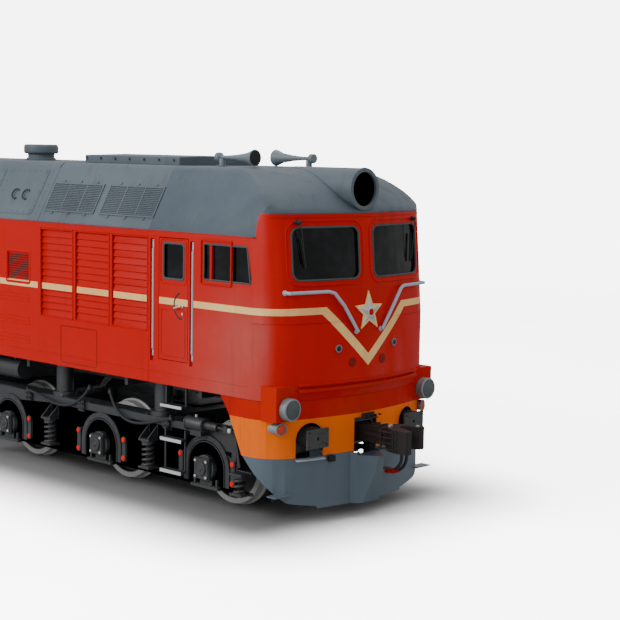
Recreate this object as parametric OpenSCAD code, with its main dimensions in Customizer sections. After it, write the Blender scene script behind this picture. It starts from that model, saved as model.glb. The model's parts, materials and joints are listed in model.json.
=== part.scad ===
// Double-ended diesel locomotive on two three-axle bogies.
// X runs along the locomotive (front at +X), Y to its left, Z up from the wheel flanges' lowest point.
// Heights in the source are above the rail's top; on_rail() lifts them by the flange depth.

/* [Body] */
// Length between the couplers' faces
coupler_span = 17550; // [16500:50:19000]
// Width over the side walls
body_w = 2950; // [2500:10:3100]
// Distance from the middle to the foremost point of the nose
nose_x = 7905; // [7600:5:8300]
// Height of the side walls' bottom edge
sill_z = 1521; // [1480:1:1580]
// Height where the side walls meet the roof
eave_z = 3475; // [3420:1:3560]
// Height of the roof's flat top
roof_z = 4280; // [4200:1:4400]
// Slope of the roof's flanks, from the horizontal
roof_slope = 61.4; // [55:0.1:66]
// Radius between the roof's flank and its top
roof_knee_r = 150; // [100:5:200]
// Thickness of the walls and the roof
wall = 60; // [40:1:80]
// Radius of the bowed nose, seen from above
nose_r = 4000; // [3400:50:5000]
// Radius of the nose's upright corners
corner_r = 450; // [350:10:520]
// Backward lean of the upper nose
nose_lean = 4.6; // [2:0.1:6]
// Distance from the middle to the joint between cab and engine room
cab_joint_x = 5450; // [5400:1:5480]
// Distance from the middle to the joint in the roof
roof_joint_x = 3065; // [2900:5:3120]

/* [Doors and windows] */
// Rear edge of the cab door
door_x = 5655; // [5620:1:5680]
// Width of the cab door
door_w = 540; // [480:1:560]
// Sill height of the cab door
door_z = 1845; // [1780:1:1900]
// Height of the cab door
door_h = 1540; // [1400:1:1560]
// Running gap round the door
door_gap = 6; // [5:0.5:10]
// Thickness of a door leaf
door_t = 50; // [30:1:55]
// Thickness of the glass
glass_t = 12; // [6:1:20]
// Inner edge of a windscreen
screen_y = 120; // [90:5:160]
// Width of a windscreen
screen_w = 1030; // [900:5:1060]
// Lower edge of the windscreens
screen_z = 2950; // [2900:5:3000]
// Height of the windscreens
screen_h = 655; // [560:5:680]

/* [Bogies] */
// Distance from the middle to a bogie's pivot
pivot_x = 4300; // [4250:5:4350]
// Distance between neighbouring axles
axle_pitch = 2100; // [2060:5:2120]
// Wheel diameter on the tread
wheel_d = 1050; // [1000:5:1060]
// Depth of the wheel flange
flange_h = 28; // [24:1:32]
// Distance between the wheels' inner faces
back_to_back = 1440; // [1360:1:1440]
// Width of a wheel's tyre
tyre_w = 140; // [130:1:145]
// Diameter of the axle between the wheels
axle_d = 210; // [180:2:230]
// Diameter of the axle's journals
journal_d = 160; // [130:2:170]
// Diameter of the bogie pivot
pivot_d = 300; // [240:5:340]

/* [Ends] */
// Height of the coupler's middle
coupler_z = 1037; // [1020:1:1080]
// Lower edge of the red part of the apron
band_z = 1288; // [1250:1:1320]
// Lower edge of the apron, where the plough begins
apron_z = 820; // [780:1:860]
// Lowest edge of the plough
plough_z = 165; // [140:1:200]
// Sideways distance of a buffer pad from the middle
buffer_y = 897; // [860:1:930]
// Height of a buffer pad's middle
buffer_z = 1060; // [1040:1:1080]

/* [Hidden] */

red = "#b4170a";
orange = "#d87a00";
roof_grey = "#6b7782";
plough_grey = "#4f5a63";
black = "#2b2d30";
steel = "#9aa2a8";
glass_tint = "#1c2022";

half_w = body_w / 2;
wheel_r = wheel_d / 2;
axle_z = wheel_r;
seat_gap = 0.3;
run_gap = 0.05;
eps = 1;

// Nose outline, seen from above: the bow's centre, and the corners' centres
bow_x = nose_x - nose_r;
corner_y = half_w - corner_r;
corner_x = bow_x + sqrt(pow(nose_r - corner_r, 2) - pow(corner_y, 2));
corner_a = atan2(corner_y, corner_x - bow_x);
lean_z = 2450;

// Dome over the cab: an arc turned about the bow's centre
dome_back_x = 6650;
dome_edge_x = nose_x - 105;
dome_edge_z = 3765;
dome_run = dome_edge_x - dome_back_x;
dome_drop = roof_z - dome_edge_z;
dome_r = (pow(dome_run, 2) + pow(dome_drop, 2)) / (2 * dome_drop);
shoulder_x = 7364;
shoulder_slope = 76;
shoulder_knee_r = 480;

// Floor and underframe
floor_t = 79;
floor_top = sill_z + floor_t;
beam_y = 330;
beam_w = 120;
beam_h = 290;
beam_z = sill_z - beam_h;
buffer_beam_x = 7560;
buffer_beam_t = 80;
buffer_beam_z = 850;
pocket_back_x = 7150;
pocket_front_x = 7840;
pocket_half = 155;
pocket_t = 35;
coupler_pin_x = 7400;
coupler_pin_r = 45;
shank_h = 220;
shank_w = 170;
pocket_low = coupler_z - shank_h / 2 - seat_gap;
pocket_high = coupler_z + shank_h / 2 + 12;
apron_inset = 15;
apron_t = 15;

// Cab openings
side_window_z = 2905;
side_window_h = 455;
side_window_x = 6478;
side_window_top_w = 779;
side_window_low_w = 842;
door_window_x = 5726;
door_window_w = 406;
door_window_z = 2865;
door_window_h = 468;
rail_slot_w = 64;
rail_slot_depth = 38;
rail_slot_z = 1805;
rail_slot_h = 1558;
rail_r = 16;
rail_y = half_w - rail_r - 4;
slot_x = [door_x - 138, door_x + door_w + 72];
hinge_r = 16;
hinge_pin_r = 8;
hinge_y = half_w - wall - hinge_r - 4;
hinge_z = [door_z + 250, door_z + door_h - 330];
hinge_h = 90;

// Louvre bay in the side walls: two bays a side, one behind each cab
bay_x = 3150;
bay_w = 2280;
bay_z = 2170;
bay_h = 1216;
bay_panel_w = 731;
bay_post = (bay_w - 3 * bay_panel_w) / 2;
slat_pitch = 90;
vent_x = 2384;
vent_w = 505;
vent_z = 2627;
vent_h = 388;

// Bogie
frame_y = 1010;
frame_beam_w = 240;
plate_t = 50;
plate_y = frame_y + frame_beam_w;
plate_out = plate_y + plate_t;
frame_low = 780;
frame_top = 1040;
frame_end = 2700;
cross_x = 900;
cross_w = 300;
cross_low = 700;
end_beam_x = axle_pitch + wheel_r + flange_h + 10;
arch_inner = 340;
arch_outer = 420;
arch_half = 540;
arch_shoulder_z = 640;
arch_low = 330;
spring_y = 1375;
spring_mid = axle_pitch / 2;
spring_end = axle_pitch + 663;
spring_low = 395;
spring_top = 728;
spring_r = 92;
end_spring_low = 320;
end_spring_top = 541;
box_r = 170;
box_in = 1100;
box_out = 1400;
journal_end = 1340;
motor_off = 520;
motor_r = 320;
motor_z = 560;
motor_half = 560;
pin_half = 480;
bearer_r = 120;

// ---------------------------------------------------------------- helpers

module on_rail() {
  translate([0, 0, flange_h]) children();
}

module both_ends() {
  for (turn = [0, 180]) rotate([0, 0, turn]) children();
}

module both_sides() {
  for (side = [0, 1]) mirror([0, side, 0]) children();
}

module box(x, y, z) {
  // a block given by its low and high X, Y and Z
  translate([x[0], y[0], z[0]]) cube([x[1] - x[0], y[1] - y[0], z[1] - z[0]]);
}

module rod(p, q, r, sides = 24) {
  // a round bar from p to q
  run = q - p;
  length = norm(run);
  translate(p) rotate([0, acos(run[2] / length), atan2(run[1], run[0])])
    cylinder(r = r, h = length, $fn = sides);
}

module bent_rod(points, r, sides = 24) {
  for (i = [0 : len(points) - 2]) rod(points[i], points[i + 1], r, sides);
  for (i = [1 : len(points) - 2]) translate(points[i]) sphere(r = r, $fn = sides);
}

module along_x(x, length) {
  translate([x, 0, 0]) rotate([90, 0, 90]) linear_extrude(length) children();
}

module along_y(y, length) {
  translate([0, y + length, 0]) rotate([90, 0, 0]) linear_extrude(length) children();
}

function arc(centre, r, from, to, steps) =
  [for (i = [0 : steps]) let (a = from + (to - from) * i / steps) centre + r * [cos(a), sin(a)]];

function round_box(low, size, r, steps = 6) = let (high = low + size) concat(
  arc(low + [r, r], r, 180, 270, steps),
  arc([high[0] - r, low[1] + r], r, 270, 360, steps),
  arc(high - [r, r], r, 0, 90, steps),
  arc([low[0] + r, high[1] - r], r, 90, 180, steps));

// Nose outline moved inwards by inset, open at the back at x = back
function plan_points(inset, back) = concat(
  [[back, -half_w + inset]],
  arc([corner_x, -corner_y], corner_r - inset, -90, -corner_a, 7),
  arc([bow_x, 0], nose_r - inset, -corner_a * 0.9, corner_a * 0.9, 11),
  arc([corner_x, corner_y], corner_r - inset, corner_a, 90, 7),
  [[back, half_w - inset]]);

// Cross-section of the body moved inwards by inset, with its flank's slope and knee radius
function section_half(inset, slope, knee, low) = let (
  meet_y = half_w - (roof_z - eave_z) / tan(slope),
  centre = [meet_y - knee * tan(slope / 2), roof_z - knee]) concat(
  [[half_w - inset, low]],
  [[half_w - inset, eave_z - inset * tan((90 - slope) / 2)]],
  arc(centre, knee - inset, 90 - slope, 90, 8));

function section_points(inset, slope, knee, low) = let (
  right = section_half(inset, slope, knee, low)) concat(
  right, [for (i = [len(right) - 1 : -1 : 0]) [-right[i][0], right[i][1]]]);

// ---------------------------------------------------------------- cab shell

module body_length(inset, from, to, low) {
  along_x(from, to - from) polygon(section_points(inset, roof_slope, roof_knee_r, low));
}

module cab_section(inset, back, low) {
  front = nose_x + 50;
  body_length(inset, back, dome_back_x, low);
  hull() {
    body_length(inset, dome_back_x - eps, dome_back_x, low);
    along_x(shoulder_x, eps) polygon(section_points(inset, shoulder_slope, shoulder_knee_r, low));
  }
  along_x(shoulder_x, front - shoulder_x)
    polygon(section_points(inset, shoulder_slope, shoulder_knee_r, low));
}

module nose_prism(inset, back, low) {
  // upright below lean_z, leaning back above it
  translate([0, 0, low]) linear_extrude(lean_z - low) polygon(plan_points(inset, back));
  intersection() {
    translate([nose_x, 0, lean_z]) rotate([0, -nose_lean, 0]) translate([-nose_x, 0, -200])
      linear_extrude(2400) polygon(plan_points(inset, back - 400));
    box([back, nose_x + 100], [-half_w - 50, half_w + 50], [lean_z, roof_z + 100]);
  }
}

module dome(inset) {
  radius = dome_r - inset;
  centre = [dome_back_x - bow_x, roof_z - dome_r];
  translate([bow_x, 0, 0]) rotate_extrude($fn = 180) polygon(concat(
    [[0, 0]], [[centre[0] + radius, 0]], arc(centre, radius, 0, 90, 18), [[0, centre[1] + radius]]));
}

module cab_solid(inset, back = cab_joint_x, low = sill_z) {
  intersection() {
    cab_section(inset, back, low);
    nose_prism(inset, back, low);
    dome(inset);
  }
}

module screen_cut() {
  both_sides() along_x(6900, 1200)
    polygon(round_box([screen_y, screen_z], [screen_w, screen_h], 110));
}

module side_window_cut(from, depth) {
  r = 60;
  low = side_window_z;
  high = low + side_window_h;
  x = side_window_x;
  both_sides() along_y(from, depth) polygon(concat(
    arc([x + r, low + r], r, 180, 270, 5),
    arc([x + side_window_low_w - r, low + r], r, 270, 367, 5),
    arc([x + side_window_top_w - r, high - r], r, 7, 90, 5),
    arc([x + r, high - r], r, 90, 180, 5)));
}

module doorway_cut() {
  both_sides() box([door_x - door_gap, door_x + door_w + door_gap], [half_w - wall - 5, half_w + 5],
    [door_z - door_gap, door_z + door_h + door_gap]);
}

module rail_slot_cut() {
  both_sides() for (x = slot_x)
    box([x - rail_slot_w / 2, x + rail_slot_w / 2], [half_w - rail_slot_depth, half_w + 5],
      [rail_slot_z, rail_slot_z + rail_slot_h]);
}

module hinge_mounts() {
  // pins on brackets at the door's rear edge, inside the wall
  both_sides() for (z = hinge_z) {
    translate([door_x, hinge_y, z - 25]) cylinder(r = hinge_pin_r, h = hinge_h + 50, $fn = 24);
    for (end = [z - 25 - 12, z + hinge_h + 13])
      box([door_x - 60, door_x + 12], [hinge_y - 12, half_w - wall + 2], [end, end + 24]);
  }
}

module nose_ledge() {
  intersection() {
    difference() {
      translate([0, 0, 1695]) linear_extrude(20) polygon(plan_points(-42, 7300));
      cab_solid(0);
    }
    box([7400, nose_x + 60], [-1080, 1080], [1690, 1720]);
  }
}

module cab_shell() {
  difference() {
    union() {
      difference() {
        cab_solid(0);
        cab_solid(wall, cab_joint_x + wall, sill_z - 5);
      }
      hinge_mounts();
      nose_ledge();
    }
    screen_cut();
    side_window_cut(half_w - wall - 5, wall + 10);
    doorway_cut();
    rail_slot_cut();
    box([cab_joint_x - 5, cab_joint_x + wall + 5], [-half_w + wall, half_w - wall],
      [sill_z - 5, floor_top]);
  }
}

module front_cab_shell() {
  on_rail() color(red) cab_shell();
}

module rear_cab_shell() {
  on_rail() color(red) rotate([0, 0, 180]) cab_shell();
}

module windscreens() {
  depth = 30;
  on_rail() color(glass_tint) both_ends() intersection() {
    screen_cut();
    difference() {
      cab_solid(depth);
      cab_solid(depth + glass_t);
    }
  }
}

module cab_side_windows() {
  on_rail() color(glass_tint) both_ends() side_window_cut(half_w - 38, glass_t);
}

// ---------------------------------------------------------------- doors

module door_leaf() {
  // the left door at rest; its hinge barrels stand inside the cab
  inner = half_w - door_t;
  difference() {
    box([door_x, door_x + door_w], [inner, half_w], [door_z, door_z + door_h]);
    along_y(inner - 5, door_t + 10)
      polygon(round_box([door_window_x, door_window_z], [door_window_w, door_window_h], 45));
  }
  for (z = hinge_z) difference() {
    union() {
      translate([door_x, hinge_y, z]) cylinder(r = hinge_r, h = hinge_h, $fn = 32);
      box([door_x, door_x + 70], [hinge_y - 5, inner + 2], [z, z + hinge_h]);
    }
    translate([door_x, hinge_y, z - 1]) cylinder(r = hinge_pin_r + run_gap, h = hinge_h + 2, $fn = 24);
  }
}

module door_glass() {
  along_y(half_w - 38, glass_t)
    polygon(round_box([door_window_x, door_window_z], [door_window_w, door_window_h], 45));
}

// Each door: turned to its end, then mirrored to its side. On the rear end the sides swap.
module front_right_door() {
  on_rail() color(red) mirror([0, 1, 0]) door_leaf();
}

module front_left_door() {
  on_rail() color(red) door_leaf();
}

module rear_right_door() {
  on_rail() color(red) mirror([0, 1, 0]) mirror([1, 0, 0]) door_leaf();
}

module rear_left_door() {
  on_rail() color(red) mirror([1, 0, 0]) door_leaf();
}

module front_right_door_glass() {
  on_rail() color(glass_tint) mirror([0, 1, 0]) door_glass();
}

module front_left_door_glass() {
  on_rail() color(glass_tint) door_glass();
}

module rear_right_door_glass() {
  on_rail() color(glass_tint) mirror([0, 1, 0]) mirror([1, 0, 0]) door_glass();
}

module rear_left_door_glass() {
  on_rail() color(glass_tint) mirror([1, 0, 0]) door_glass();
}

// ---------------------------------------------------------------- engine room

module side_wall() {
  inner = half_w - wall;
  difference() {
    box([-cab_joint_x, cab_joint_x], [inner, half_w], [sill_z, eave_z - wall * tan((90 - roof_slope) / 2)]);
    for (end = [0, 1]) mirror([end, 0, 0]) {
      box([bay_x, bay_x + bay_w], [inner - 5, half_w + 5], [bay_z, bay_z + bay_h]);
      box([vent_x, vent_x + vent_w], [inner - 5, half_w + 5], [vent_z, vent_z + vent_h]);
    }
  }
}

module left_side_wall() {
  on_rail() color(red) side_wall();
}

module right_side_wall() {
  on_rail() color(red) mirror([0, 1, 0]) side_wall();
}

module louvre_panel(w, h, pitch) {
  // slats in a plain frame, as one sawtooth outline with a closed back
  count = floor((h - 40) / pitch);
  top = h - 20;
  along_x(0, w) polygon(concat(
    [[0, 0], [40, 0], [40, top - count * pitch]],
    [for (i = [count - 1 : -1 : 0]) each [[40, top - (i + 1) * pitch + 5], [18, top - i * pitch - 6],
      [40, top - i * pitch - 6]]],
    [[40, h], [0, h]]));
}

module side_louvres() {
  inner = half_w - wall;
  on_rail() color(red) for (end = [0, 1], side = [0, 1]) mirror([end, 0, 0]) mirror([0, side, 0]) {
    for (i = [0 : 2]) translate([bay_x + i * (bay_panel_w + bay_post), inner, bay_z])
      louvre_panel(bay_panel_w, bay_h, slat_pitch);
    for (i = [1 : 2]) box([bay_x + i * (bay_panel_w + bay_post) - bay_post,
      bay_x + i * (bay_panel_w + bay_post)],
      [inner, half_w - 4], [bay_z, bay_z + bay_h]);
    translate([vent_x, inner, vent_z]) louvre_panel(vent_w, vent_h, 32);
  }
}

module roof_length(from, to) {
  low = eave_z - wall * tan((90 - roof_slope) / 2);
  difference() {
    body_length(0, from, to, low);
    body_length(wall, from - 5, to + 5, low - 5);
  }
}

module front_roof_section() {
  on_rail() color(roof_grey) roof_length(roof_joint_x, cab_joint_x);
}

module middle_roof_section() {
  on_rail() color(roof_grey) roof_length(-roof_joint_x, roof_joint_x);
}

fan_x = -4300;
fan_r = 700;
well_r = 730;

module rear_roof_section() {
  on_rail() color(roof_grey) difference() {
    roof_length(-cab_joint_x, -roof_joint_x);
    translate([fan_x, 0, roof_z - 300]) cylinder(r = well_r, h = 400, $fn = 96);
  }
}

fan_low = roof_z - 200;
fan_high = roof_z - 40;
shaft_r = 30;

module fan_guard() {
  on_rail() color(roof_grey) translate([fan_x, 0, 0]) {
    difference() {
      translate([0, 0, roof_z]) cylinder(r = well_r + 60, h = 70, $fn = 96);
      translate([0, 0, roof_z - 5]) cylinder(r = well_r, h = 80, $fn = 96);
    }
    for (i = [0 : 11]) rotate([0, 0, i * 30]) box([60, well_r + 10], [-8, 8], [roof_z + 30, roof_z + 60]);
    for (r = [250, 490]) difference() {
      translate([0, 0, roof_z + 35]) cylinder(r = r, h = 20, $fn = 72);
      translate([0, 0, roof_z + 30]) cylinder(r = r - 16, h = 30, $fn = 72);
    }
    translate([0, 0, roof_z + 5]) cylinder(r = 90, h = 60, $fn = 48);
    translate([0, 0, fan_low - 25]) cylinder(r = shaft_r, h = roof_z + 6 - fan_low + 25, $fn = 32);
    translate([0, 0, fan_low - 25]) cylinder(r = 60, h = 25 - seat_gap, $fn = 32);
  }
}

module radiator_fan() {
  on_rail() color(steel) translate([fan_x, 0, 0]) {
    difference() {
      translate([0, 0, fan_low]) cylinder(r = 150, h = fan_high - fan_low, $fn = 48);
      translate([0, 0, fan_low - 5]) cylinder(r = shaft_r + run_gap, h = fan_high - fan_low + 10, $fn = 32);
    }
    for (i = [0 : 7]) rotate([0, 0, i * 45]) translate([140, 0, (fan_low + fan_high) / 2])
      rotate([28, 0, 0])
      translate([0, -110, -6]) cube([fan_r - 160, 220, 12]);
  }
}

module roof_intake_box() {
  half = 705;
  on_rail() color(roof_grey) along_x(3167, 1989)
    polygon([[-half, roof_z], [half, roof_z], [half, roof_z + 108], [0, roof_z + 128],
      [-half, roof_z + 108]]);
}

module roof_breather() {
  on_rail() color(plough_grey) translate([1180, 0, roof_z]) rotate_extrude($fn = 72) polygon(concat(
    [[0, 0], [225, 0], [225, 25], [200, 40], [200, 98]],
    arc([230, 128], 30, 270, 360, 4), arc([220, 200], 40, 0, 90, 4), [[0, 240]]));
}

// ---------------------------------------------------------------- roof and nose fittings

module horn(length, foot_x, facing) {
  // bell along +X from its driver, standing on one foot
  h = 118;
  mouth_r = 108;
  scale_x = facing;
  translate([foot_x, 0, 0]) {
    translate([0, 0, h]) rotate([0, 90 * facing, 0]) {
      rotate_extrude($fn = 40) polygon([
        [0, -95], [58, -95], [62, -88], [62, -30], [44, -18], [24, 0], [26, 120], [40, 300],
        [66, length * 0.8], [mouth_r, length], [mouth_r, length + 16], [mouth_r - 12, length + 16],
        [50, length * 0.8], [0, length * 0.7]]);
    }
    translate([0, 0, 0]) cylinder(r = 42, h = h - 20, $fn = 32);
    cylinder(r = 75, h = 12, $fn = 32);
  }
}

module horns() {
  on_rail() color(plough_grey) both_ends() {
    translate([0, -400, roof_z]) horn(600, 5650, 1);
    translate([0, 400, roof_z]) horn(600, 6452, -1);
  }
}

module headlights() {
  z = roof_z - 235;
  front = nose_x - 114;
  on_rail() color(plough_grey) both_ends() difference() {
    translate([6600, 0, z]) rotate([0, 90, 0]) cylinder(r = 258, h = front - 6600, $fn = 64);
    translate([front - 330, 0, z]) rotate([0, 90, 0]) cylinder(r = 212, h = 340, $fn = 64);
    cab_solid(0);
  }
}

module side_handrails() {
  low = 1967;
  high = 3232;
  back = half_w - rail_slot_depth;
  on_rail() color(steel) both_ends() both_sides() for (x = slot_x) {
    bent_rod([[x, back, low], [x, rail_y, low], [x, rail_y, high], [x, back, high]], rail_r);
  }
}

// Upper handrail on the nose, from its outer end to its inner foot
nose_rail = [[7743, 1245, 2822], [7869, 690, 2824], [7893, 615, 2800], [7921, 470, 2640],
  [7930, 225, 2311]];

module nose_handrails() {
  inward = [-140, 0, 0];
  last = len(nose_rail) - 1;
  on_rail() color(steel) both_ends() both_sides() difference() {
    hose(concat([nose_rail[0] + inward, nose_rail[0] + 0.2 * inward], nose_rail,
      [nose_rail[last] + 0.2 * inward, nose_rail[last] + inward]), 21, 12);
    cab_solid(0);
  }
}

module corner_lamps() {
  y = 1265;
  z = 1440;
  on_rail() color(steel) both_ends() both_sides() {
    difference() {
      union() {
        translate([7745, y, z]) rotate([0, 90, 0]) cylinder(r = 137, h = 45, $fn = 48);
        translate([7745, y, z]) rotate([0, 90, 0]) cylinder(r = 114, h = 100, $fn = 48);
      }
      translate([7790, y, z]) rotate([0, 90, 0]) cylinder(r = 94, h = 100, $fn = 48);
    }
    difference() {
      translate([7480, 1320, 1193]) rotate([0, 90, 0]) cylinder(r = 70, h = 220, $fn = 40);
      translate([7665, 1320, 1193]) rotate([0, 90, 0]) cylinder(r = 55, h = 60, $fn = 40);
      translate([0, 0, 900]) linear_extrude(600) polygon(plan_points(apron_inset, 7000));
    }
  }
}

// ---------------------------------------------------------------- ends

module end_ring(outer, low, high, back) {
  // upright plate that follows the nose outline
  translate([0, 0, low]) difference() {
    linear_extrude(high - low) polygon(plan_points(outer, back));
    translate([0, 0, -5]) linear_extrude(high - low + 10) polygon(plan_points(outer + apron_t, back - 5));
  }
}

module buffer_cut() {
  w = 196;
  both_sides() along_x(7500, 600) translate([buffer_y, 0]) polygon(concat(
    [[-w, apron_z - 5], [w, apron_z - 5]], arc([0, buffer_z - 20], w, 0, 180, 16)));
}

module apron() {
  difference() {
    union() {
      end_ring(apron_inset, apron_z, sill_z, 6788);
      both_sides() difference() {
        box([7480, 7745], [1090, half_w - 30], [band_z, 1711]);
        translate([0, 0, band_z - 5]) linear_extrude(500) polygon(plan_points(apron_inset, 7000));
      }
    }
    cab_solid(0);
    both_sides() along_y(half_w - 100, 200)
      polygon([[6700, sill_z + 5], [6785, sill_z + 5], [6945, 1300], [7175, apron_z], [7170, 700],
        [6700, 700]]);
    buffer_cut();
    box([7500, 8100], [-207, 207], [apron_z - 5, 1228]);
  }
}

module front_apron() {
  on_rail() color(orange) apron();
}

module rear_apron() {
  on_rail() color(orange) rotate([0, 0, 180]) apron();
}

module plough() {
  top = apron_z;
  keel = [[8162, top - 20], [8130, 560], [7997, plough_z]];
  difference() {
    union() {
      end_ring(20, plough_z, top, 7100);
      difference() {
        along_y(-380, 760) polygon(concat([[7700, top - 20]], keel, [[7700, plough_z]]));
        // two flanks that meet at the keel
        for (side = [-1, 1]) translate([8200, side * 15, 0]) rotate([0, 0, -side * 37])
          box([-2000, 600], side > 0 ? [0, 2000] : [-2000, 0], [0, 1200]);
        translate([0, 0, -5]) linear_extrude(2000) polygon(plan_points(20, 7000));
      }
      for (side = [-1, 1]) box([7470, nose_x - 120], [side * 560 - 15, side * 560 + 15],
        [420, buffer_beam_z]);
      both_sides() difference() {
        box([7520, 7760], [1160, half_w - 20], [374, 390]);
        translate([0, 0, 300]) linear_extrude(200) polygon(plan_points(20, 7000));
      }
    }
    both_sides() along_y(half_w - 700, 900)
      polygon([[7000, top + 5], [7175, top + 5], [7571, 433], [7700, 270], [7850, plough_z], [7850, 0],
        [7000, 0]]);
    buffer_cut();
    box([7500, 8300], [-207, 207], [770, 1228]);
  }
}

module front_plough() {
  on_rail() color(plough_grey) plough();
}

module rear_plough() {
  on_rail() color(plough_grey) rotate([0, 0, 180]) plough();
}

module buffer_pads() {
  face = nose_x + 17;
  plate = 24;
  on_rail() color(black) both_ends() both_sides() translate([0, buffer_y, buffer_z]) difference() {
    union() {
      translate([buffer_beam_x + buffer_beam_t, 0, 0]) rotate([0, 90, 0])
        cylinder(r = 112, h = face - plate - buffer_beam_x - buffer_beam_t, $fn = 48);
      box([face - plate, face], [-188, 188], [-120, 120]);
    }
    for (y = [-150, 150], z = [-84, 84]) translate([face - plate - 5, y, z]) rotate([0, 90, 0])
      cylinder(r = 12, h = plate + 10, $fn = 24);
    translate([face - 60, 0, 0]) rotate([0, 90, 0]) cylinder(r = 20, h = 70, $fn = 24);
  }
}

module coupler() {
  face = coupler_span / 2;
  low = coupler_z - 142;
  difference() {
    union() {
      box([coupler_pin_x, 8330], [-shank_w / 2, shank_w / 2],
        [coupler_z - shank_h / 2, coupler_z + shank_h / 2]);
      translate([coupler_pin_x, 0, coupler_z - shank_h / 2])
        cylinder(r = shank_w / 2, h = shank_h, $fn = 48);
      // head with its large and small tooth and the mouth between them
      translate([0, 0, low]) linear_extrude(284) polygon([
        [8290, -85], [8420, -215], [8560, -262], [face - 20, -262], [face, -235], [face, -170],
        [face - 150, -95], [8480, -70], [8440, 20], [8480, 95], [face - 190, 110], [face - 130, 150],
        [face - 120, 215], [8600, 228], [8440, 205], [8290, 85]]);
    }
    translate([coupler_pin_x, 0, 500]) cylinder(r = coupler_pin_r + run_gap, h = 900, $fn = 48);
  }
}

module front_coupler() {
  on_rail() color(black) coupler();
}

module rear_coupler() {
  on_rail() color(black) rotate([0, 0, 180]) coupler();
}

// Ring of points round each station of a hose, turned to its path
function hose_ring(points, i, r, sides) = let (
  last = len(points) - 1,
  run = points[min(i + 1, last)] - points[max(i - 1, 0)],
  ahead = run / norm(run),
  side = cross(ahead, [0.02, 0.01, 1]),
  u = side / norm(side),
  v = cross(ahead, u)) [for (k = [0 : sides - 1]) let (a = 360 * k / sides)
    points[i] + r * (u * cos(a) + v * sin(a))];

module hose(points, r, sides = 10) {
  last = len(points) - 1;
  rings = [for (i = [0 : last]) each hose_ring(points, i, r, sides)];
  walls = [for (i = [0 : last - 1], k = [0 : sides - 1])
    let (a = i * sides + k, b = i * sides + (k + 1) % sides)
    each [[b + sides, b, a], [a + sides, b + sides, a]]];
  first_cap = [for (k = [1 : sides - 2]) [k, k + 1, 0]];
  end_cap = [for (k = [1 : sides - 2]) [last * sides + k + 1, last * sides + k, last * sides]];
  polyhedron(rings, concat(walls, first_cap, end_cap));
}

// A smooth curve through four control points, taken at even steps
function curve(a, b, c, d, steps) = [for (i = [0 : steps]) let (t = i / steps, s = 1 - t)
  s * s * s * a + 3 * s * s * t * b + 3 * s * t * t * c + t * t * t * d];

hose_r = 20;
// Brake hoses at each end: cock, two bends, and the holder on the plough
hose_table = [ // start Y, end Y, end Z
  [390, 330, 500],
  [490, 420, 480]
];

module brake_hoses() {
  on_rail() color(black) both_ends() difference() {
    for (h = hose_table) {
      start = [nose_x + 10, h[0], 870];
      finish = [nose_x + 40, h[1], h[2]];
      hose(curve(start, start + [300, 30, 30], finish + [320, 30, 0], finish, 18), hose_r);
      translate(start - [140, 0, 0]) rotate([0, 90, 0]) cylinder(r = 32, h = 145, $fn = 24);
      box([nose_x - 150, finish[0] + 30], [h[1] - 30, h[1] + 30], [h[2] + 5, h[2] + 45]);
    }
    translate([0, 0, apron_z]) linear_extrude(200) polygon(plan_points(apron_inset, 7000));
    translate([0, 0, 100]) linear_extrude(apron_z - 100) polygon(plan_points(20, 7000));
  }
}

// ---------------------------------------------------------------- underframe

module main_frame() {
  floor_x = cab_joint_x;
  on_rail() color(black) {
    box([-floor_x, floor_x], [-half_w + wall, half_w - wall], [sill_z, floor_top]);
    both_ends() {
      translate([0, 0, sill_z]) linear_extrude(floor_t) polygon(plan_points(wall, floor_x - 10));
      both_sides() box([0, 7600], [beam_y, beam_y + beam_w], [beam_z, sill_z + 5]);
      for (x = [2400, 5350, 6950]) box([x, x + 80], [-beam_y, beam_y], [beam_z + 60, sill_z + 5]);
      both_sides() for (x = [1180, 2700, 4860, 6300]) box([x, x + 60],
        [beam_y + beam_w, half_w - wall - 40], [sill_z - 120, sill_z + 5]);
      // bogie pivot under its crossbeam
      box([pivot_x - 300, pivot_x + 300], [-beam_y - 5, beam_y + 5], [beam_z + 20, sill_z + 5]);
      translate([pivot_x, 0, 950]) cylinder(r = pivot_d / 2, h = 500, $fn = 64);
      // end beam with the coupler's pocket
      difference() {
        union() {
          box([buffer_beam_x, buffer_beam_x + buffer_beam_t], [-1180, 1180], [buffer_beam_z, sill_z + 5]);
          box([pocket_back_x, pocket_front_x], [-pocket_half - pocket_t, pocket_half + pocket_t],
            [pocket_low - pocket_t, beam_z + 10]);
        }
        box([pocket_back_x - 5, pocket_front_x + 5], [-pocket_half, pocket_half],
          [pocket_low, pocket_high]);
      }
      translate([coupler_pin_x, 0, pocket_low - 5]) cylinder(r = coupler_pin_r,
        h = pocket_high - pocket_low + 10, $fn = 48);
    }
  }
}

module door_steps() {
  w = 400;
  x = door_x + 235 - w / 2;
  on_rail() color(black) both_ends() both_sides() {
    box([x, x + w], [half_w - 170, half_w - 8], [1240, 1268]);
    for (end = [x, x + w - 24]) box([end, end + 24], [half_w - 110, half_w - 86], [1240, sill_z]);
  }
}

module fuel_tank() {
  on_rail() color(black) along_x(-1150, 2300) polygon([
    [-1380, 760], [-1050, 430], [1050, 430], [1380, 760], [1380, 1180], [1330, beam_z], [-1330, beam_z],
      [-1380, 1180]]);
}

module air_reservoirs() {
  r = 150;
  on_rail() color(black) both_ends() both_sides() {
    translate([1260, 1180, 1310]) rotate([0, 90, 0]) cylinder(r = r, h = 1150, $fn = 48);
    for (x = [1420, 2200]) box([x, x + 50], [1120, 1240], [1400, sill_z]);
  }
}

module engine_block() {
  on_rail() color(steel) box([-2600, 2000], [-650, 650], [floor_top, 3300]);
}

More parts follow.
